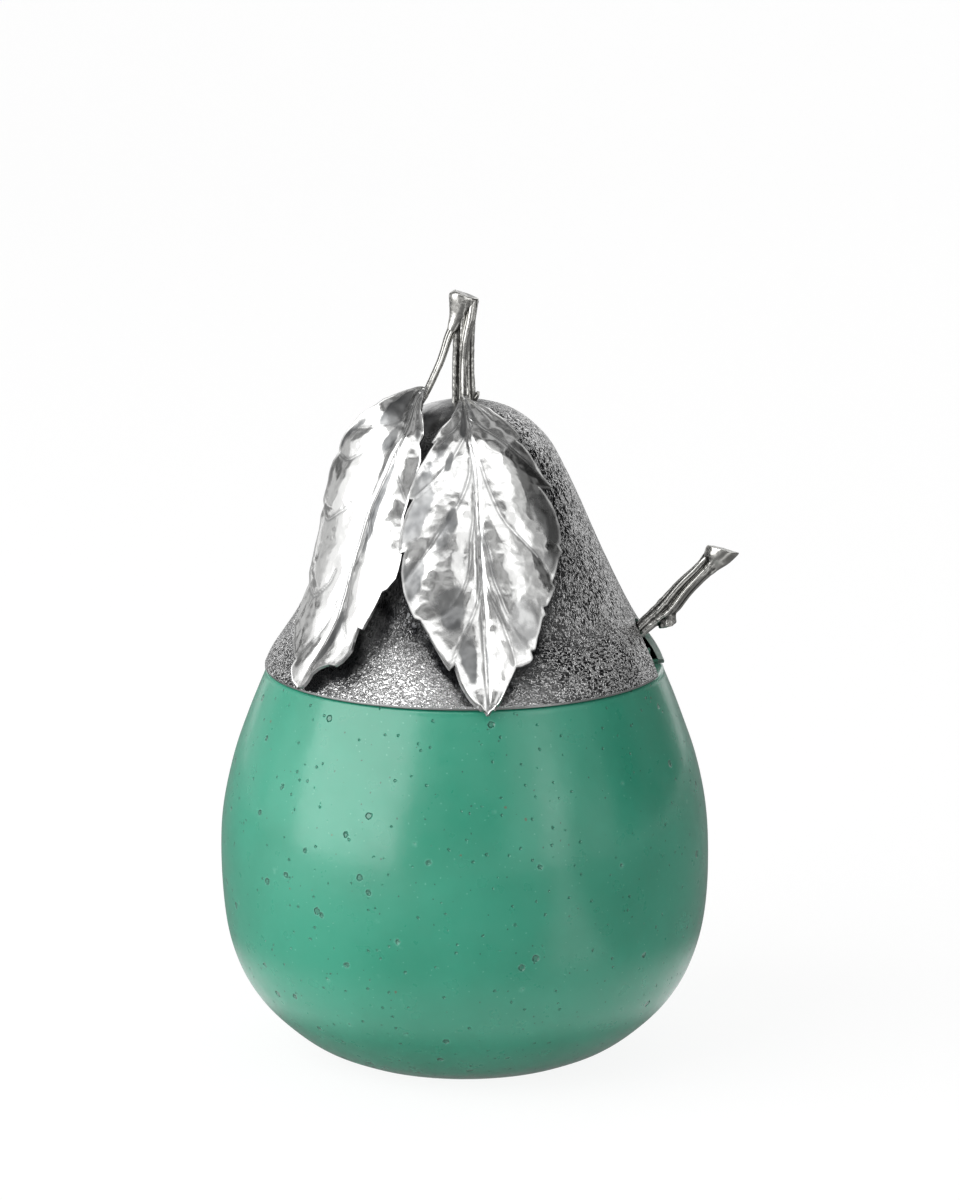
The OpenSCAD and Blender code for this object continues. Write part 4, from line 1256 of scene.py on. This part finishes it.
def silver(name, tones, polish, depth, amount, work, relief):
    """A silver with its bright and dark grey, its polish and dullness, how deep its places
    lie and how much that tells, the size and strength of its dents and scratches, and how
    high they stand."""
    material, tree = new_material(name)
    where = own_place(tree)
    depth = stored(tree, depth) if isinstance(depth, str) else depth
    silver_tone = place_group(tree, tarnish_and_shade, {"Vector": where, "Bright": (*tones[0], 1),
                         "Dark": (*tones[1], 1), "Depth": depth, "Amount": amount,
                         "Polish": polish[0], "Dullness": polish[1]})
    height = place_group(tree, handwork, {"Vector": where, "Dent size": work[0],
                         "Dents": work[1], "Scratches": work[2]})["Height"]
    bump = add(tree, "ShaderNodeBump", {"Height": height, "Distance": relief}).outputs[0]
    show_metal(tree, silver_tone["Color"], silver_tone["Roughness"], bump)
    return material


def dress(material, *pieces):
    """Gives pieces a material."""
    for piece in pieces:
        piece.data.materials.clear()
        piece.data.materials.append(material)

# %% [markdown]
# The lid's ground was matted with a small punch, blow beside blow. Seen close it is a
# crinkled skin of crooked bright crests and dark hollows, half a millimetre apart. The crests
# lie where a noise passes its middle value, which gives thin lines and no round spots. They
# run up the slope, and along the edge near the edge. The hollows between them are dark with
# tarnish. Under the leaves the dome also gets painted shade, darkest where the leaves cover
# most of the air over it. So how much the leaves cover each place is worked out first.

# %% How much the leaves cover each place on the dome, for painted shade under them
def store_leaf_shade(piece, over, reach, directions=40):
    """Stores on each vertex how much of the air over it other pieces take, from 0 to 1."""
    corners, faces = [], []
    for other in over:
        start = len(corners)
        corners += [Vector(p) for p in points_of(other)]
        faces += [[start + v for v in face.vertices] for face in other.data.polygons]
    tree = BVHTree.FromPolygons(corners, faces)
    turns = [(math.sqrt((k + 0.5) / directions), k * 2.39996) for k in range(directions)]
    leaf_shade = np.zeros(len(piece.data.vertices))
    for index, corner in enumerate(piece.data.vertices):
        if corner.co.z < SHELL_Z + 0.1 * MM or corner.normal.dot(corner.co - STUDIO_CENTRE) < 0:
            continue
        side = corner.normal.orthogonal().normalized()
        other_side = corner.normal.cross(side)
        start = corner.co + corner.normal * 0.15 * MM
        for r, turn in turns:
            way = (side * math.cos(turn) + other_side * math.sin(turn)) * r
            way += corner.normal * math.sqrt(1 - r * r)
            far = tree.ray_cast(start, way, reach)[3]
            if far is not None:
                leaf_shade[index] += 1 - 0.5 * far / reach
    store(piece, "leaf_shade", leaf_shade / directions * 2.6)


# Painted shade: the dome is darkened where the leaves, stems and twig cover the air over it
store_leaf_shade(dome, leaf_pieces + stems + [twig], 20 * MM)

# %% Chased silver for the dome
chased, tree = new_material("chased_silver")
where = own_place(tree)
leaf_shade = stored(tree, "leaf_shade")
place_z = add(tree, "ShaderNodeSeparateXYZ", {0: where}).outputs["Z"]


def crinkles(stretch, scale):
    """Thin crooked crests between small blows, drawn out upwards where stretch is below 1."""
    drawn = vector_node(tree, "MULTIPLY", where, (1, 1, stretch))
    noise = add(tree, "ShaderNodeTexNoise", {"Vector": drawn, "Scale": scale, "Detail": 2.0,
                "Roughness": 0.6, "Distortion": 0.5}).outputs["Fac"]
    off_crest = math_node(tree, "ABSOLUTE", math_node(tree, "SUBTRACT", noise, 0.5))
    return remap(tree, off_crest, 0.0, 0.13, 1.0, 0.0)


near_edge = remap(tree, place_z, SHOULDER_Z + 6 * MM, SHOULDER_Z + 15 * MM, 1.0, 0.0)
up_slope = crinkles(0.45, 1450.0)
grain_height = math_node(tree, "MULTIPLY_ADD", math_node(tree, "SUBTRACT", crinkles(
    1.9, 1050.0), up_slope), near_edge, up_slope)
from_twig = vector_node(tree, "DISTANCE", where, (-4 * MM, -5 * MM, DOME_Z))
matted = remap(tree, from_twig, 6 * MM, 11 * MM)
# Painted light: the dark of the hollows fades towards the lower front of the dome, so that side
# reads brighter
from_front = vector_node(tree, "DISTANCE", where, (-5 * MM, -34 * MM, SHOULDER_Z))
depth = remap(tree, grain_height, 0.26, 0.88, 0.97, 0.0)
depth = math_node(tree, "MULTIPLY", depth, matted)
depth = math_node(tree, "MULTIPLY", depth,
                  remap(tree, from_front, 6 * MM, 24 * MM, 0.15, 1.0))
# The painted shade under the leaves is added to the tarnish of the hollows, and both darken towards
# the same near-black Dark colour
depth = math_node(tree, "ADD", math_node(tree, "MULTIPLY", leaf_shade, 1.3), depth, clamp=True)
silver_tone = place_group(tree, tarnish_and_shade, {"Vector": where, "Bright": (0.86, 0.86, 0.86, 1),
                     "Dark": (0.022, 0.023, 0.025, 1), "Depth": depth, "Amount": 0.98,
                     "Polish": 0.13, "Dullness": 0.30})
bump = add(tree, "ShaderNodeBump", {"Height": math_node(tree, "MULTIPLY", grain_height, matted),
           "Distance": 0.26 * MM, "Strength": 1.0}).outputs[0]
show_metal(tree, silver_tone["Color"], silver_tone["Roughness"], bump)
dress(chased, dome)

# %% [markdown]
# The leaves are bright and only softly dented, so that they mirror the lamps in large ragged
# patches. Three masks were stored on their vertices when they were chased. The one called
# groove darkens the lines of the veins, another is painted shade in a few ragged patches, and
# rim gives the thin outline where the sheet was sawn.

# %% Polished silver for the leaves, plain silver for bearer and bowl, duller silver for band and sawn edges
leaf_silver, tree = new_material("leaf_silver")
where = own_place(tree)
groove, rim, painted_shade = (stored(tree, label) for label in ("groove", "rim", "painted_shade"))
# Painted shade on the leaves: the stored patches get ragged borders, and are stronger towards the
# left of the lid
border = add(tree, "ShaderNodeTexNoise", {"Vector": where, "Scale": 330.0, "Detail": 4.0,
             "Roughness": 0.55}).outputs["Fac"]
painted_shade = math_node(tree, "MULTIPLY_ADD", border, 0.9, painted_shade)
place_x = add(tree, "ShaderNodeSeparateXYZ", {0: where}).outputs["X"]
most = remap(tree, place_x, 2 * MM, 6 * MM, 0.93, 0.66)
painted_shade = math_node(tree, "MULTIPLY", remap(tree, painted_shade, 0.80, 1.12), most)
depth = math_node(tree, "MAXIMUM", groove, painted_shade)
depth = math_node(tree, "MULTIPLY", depth, math_node(tree, "SUBTRACT", 1.0, rim))
outline = math_node(tree, "MULTIPLY", math_node(tree, "POWER", rim, 3.0), 0.85)
depth = math_node(tree, "MAXIMUM", depth, outline)
silver_tone = place_group(tree, tarnish_and_shade, {"Vector": where, "Bright": (0.88, 0.88, 0.87, 1),
                     "Dark": (0.10, 0.104, 0.108, 1), "Depth": depth, "Amount": 0.92,
                     "Polish": 0.13, "Dullness": 0.34})
leaf_rough = math_node(tree, "MULTIPLY_ADD", rim, 0.25, silver_tone["Roughness"])
height = place_group(tree, handwork, {"Vector": where, "Dent size": 1.5 * MM, "Dents": 0.4,
                     "Scratches": 0.10})["Height"]
ragged = add(tree, "ShaderNodeTexNoise", {"Vector": where, "Scale": 240.0, "Detail": 3.0,
             "Roughness": 0.5, "Distortion": 0.5}).outputs["Fac"]
height = math_node(tree, "MULTIPLY_ADD", ragged, 1.6, height)
bump = add(tree, "ShaderNodeBump", {"Height": height, "Distance": 0.05 * MM,
           "Strength": 1.0}).outputs[0]
show_metal(tree, silver_tone["Color"], leaf_rough, bump)
dress(leaf_silver, *leaf_pieces)

plain_silver = silver("plain_silver", ((0.86, 0.86, 0.85), (0.2, 0.2, 0.2)), (0.16, 0.4),
                      0.1, 0.6, (3 * MM, 0.3, 0.10), 0.04 * MM)
dress(plain_silver, bearer, bowl)

# The lip's upper faces belong to the chased ground, and the leaves' sawn edges are duller
edge_silver = silver("edge_silver", ((0.52,) * 3, (0.12,) * 3), (0.24, 0.4), 0.35, 0.8,
                     (1.2 * MM, 0.8, 0.3), 0.05 * MM)
dress(edge_silver, lip)
lip.data.materials.append(chased)
for face in lip.data.polygons:
    if face.center.z > BAND_LOW + 0.35 * MM:
        face.material_index = 1
for piece in leaf_pieces:
    piece.data.materials.append(edge_silver)
    for face in piece.data.polygons[sawn_from[piece.name]:]:
        face.material_index = 1

# The notch's sawn faces are only filed
sawn_silver, tree = new_material("sawn_silver")
filed = place_group(tree, handwork, {"Vector": own_place(tree), "Dent size": 0.4 * MM,
                    "Dents": 0.3, "Scratches": 0.4})["Height"]
filed = add(tree, "ShaderNodeBump", {"Height": filed, "Distance": 0.08 * MM}).outputs[0]
show_metal(tree, (0.85, 0.85, 0.84, 1), 0.55, filed)
dome.data.materials.append(sawn_silver)
for face in dome.data.polygons:
    x, y, z = face.center
    depth_in = np.interp(z, outside[:, 1], outside[:, 0]) - math.hypot(x, y)
    if z < SHOULDER_Z + NOTCH_H + MM and 0.15 * MM < depth_in < 0.9 * MM and x > 0.8 * MOUTH_R:
        face.material_index = 1

# %% [markdown]
# The castings are polished on their ridges and nearly black in their flutes. How deep a place
# lies is read from the mesh: where the skin is hollow, its neighbours stand higher than it.
# That is stored as a mask too, so that the material needs nothing from the renderer.

# %% Dark cast silver for twig, stems and handle
def store_hollows(piece, reach=10, scale=0.04 * MM):
    """Stores how hollow each vertex lies, from 0 on ridges to 1 in flutes."""
    points = points_of(piece)
    count = len(points)
    a, b = read(piece.data.edges, "vertices", 2, int).T
    links = np.bincount(a, minlength=count) + np.bincount(b, minlength=count)
    smooth = points.copy()
    for _ in range(reach):
        total = np.stack([np.bincount(a, smooth[b, k], count) + np.bincount(b, smooth[a, k], count)
                          for k in range(3)], 1)
        smooth = total / np.maximum(links, 1)[:, None]
    above = ((smooth - points) * read(piece.data.vertices, "normal")).sum(1)
    store(piece, "groove", 0.5 + above / scale)


cast = silver("cast_silver", ((0.54, 0.535, 0.51), (0.026, 0.025, 0.023)), (0.16, 0.34),
              "groove", 0.95, (0.8 * MM, 0.5, 0.3), 0.05 * MM)
for piece in (twig, *stems, handle):
    store_hollows(piece)
dress(cast, twig, *stems, handle)

# %% [markdown]
# The glaze is green, glossy but not mirror-bright, and full of small faults from the kiln:
# pits where a bubble burst, dark iron specks and a few brown ones. A Voronoi texture scatters
# round spots. Only the cells whose random value is high enough get one, so they look strewn
# and not tiled. The coat on top gives the sharper of the two reflections.

# %% Green glaze for the jar
glaze, tree = new_material("green_glaze")
where = own_place(tree)
uneven = add(tree, "ShaderNodeTexNoise", {"Vector": where, "Scale": 1400.0}).outputs["Color"]
uneven = vector_node(tree, "MULTIPLY_ADD", uneven, (0.5 * MM,) * 3, where)


def strewn(scale, share, radius, soften):
    """Round spots in some of the cells of a Voronoi texture: 1 inside a spot, 0 outside."""
    cells = add(tree, "ShaderNodeTexVoronoi", {"Vector": uneven, "Scale": scale})
    pick_one = add(tree, "ShaderNodeSeparateColor", {0: cells.outputs["Color"]}).outputs[0]
    chosen = math_node(tree, "GREATER_THAN", pick_one, 1 - share)
    spot = remap(tree, cells.outputs["Distance"], radius * (1 - soften), radius, 1.0, 0.0)
    return math_node(tree, "MULTIPLY", chosen, spot), cells.outputs["Distance"], chosen


base = add(tree, "ShaderNodeTexNoise", {"Vector": where, "Scale": 45.0, "Detail": 4.0}).outputs[0]
colour = blend_colours(tree, remap(tree, base, 0.35, 0.65), (0.026, 0.290, 0.182),
                       (0.034, 0.330, 0.212))
pits, pit_distance, pit_chosen = strewn(170.0, 0.95, 0.125, 0.45)
small_pits, _, _ = strewn(420.0, 0.85, 0.14, 0.6)
specks, _, _ = strewn(620.0, 0.30, 0.12, 0.3)
brown, _, _ = strewn(260.0, 0.15, 0.085, 0.4)
# Painted highlights: tiny light dots that stand for glints on the glaze
painted_glints, _, _ = strewn(760.0, 0.45, 0.15, 0.5)
# Painted highlight: a lighter ring round each large pit, where light catches its rim
pit_rim_highlight = math_node(tree, "MULTIPLY", pit_chosen, remap(tree, pit_distance, 0.11, 0.17, 1.0, 0.0))
# The dark tints of the pits and small pits are painted shade inside them; the specks and brown
# spots are the glaze's own colour
for mask, share, tint in ((pit_rim_highlight, 0.35, (0.16, 0.50, 0.37)), (painted_glints, 0.35, (0.20, 0.55, 0.42)),
                          (pits, 0.55, (0.012, 0.10, 0.065)),
                          (small_pits, 0.5, (0.015, 0.12, 0.08)), (specks, 0.7, (0.01, 0.05, 0.04)),
                          (brown, 0.7, (0.14, 0.09, 0.06))):
    colour = blend_colours(tree, math_node(tree, "MULTIPLY", mask, share), colour, tint)
orange_peel = add(tree, "ShaderNodeTexNoise", {"Vector": where, "Scale": 260.0,
                  "Detail": 3.0}).outputs["Fac"]
height = math_node(tree, "MULTIPLY_ADD", pits, -1.0, math_node(tree, "MULTIPLY", orange_peel, 0.09))
height = math_node(tree, "MULTIPLY_ADD", small_pits, -0.4, height)
bump = add(tree, "ShaderNodeBump", {"Height": height, "Distance": 0.55 * MM}).outputs[0]
rough = remap(tree, orange_peel, 0.3, 0.7, 0.27, 0.36)
show(tree, add(tree, "ShaderNodeBsdfPrincipled", {"Base Color": colour, "Roughness": rough,
     "IOR": 1.5, "Coat Weight": 0.60, "Coat Roughness": 0.18, "Coat IOR": 1.5, "Normal": bump,
     "Coat Normal": bump}))
dress(glaze, jar_piece)
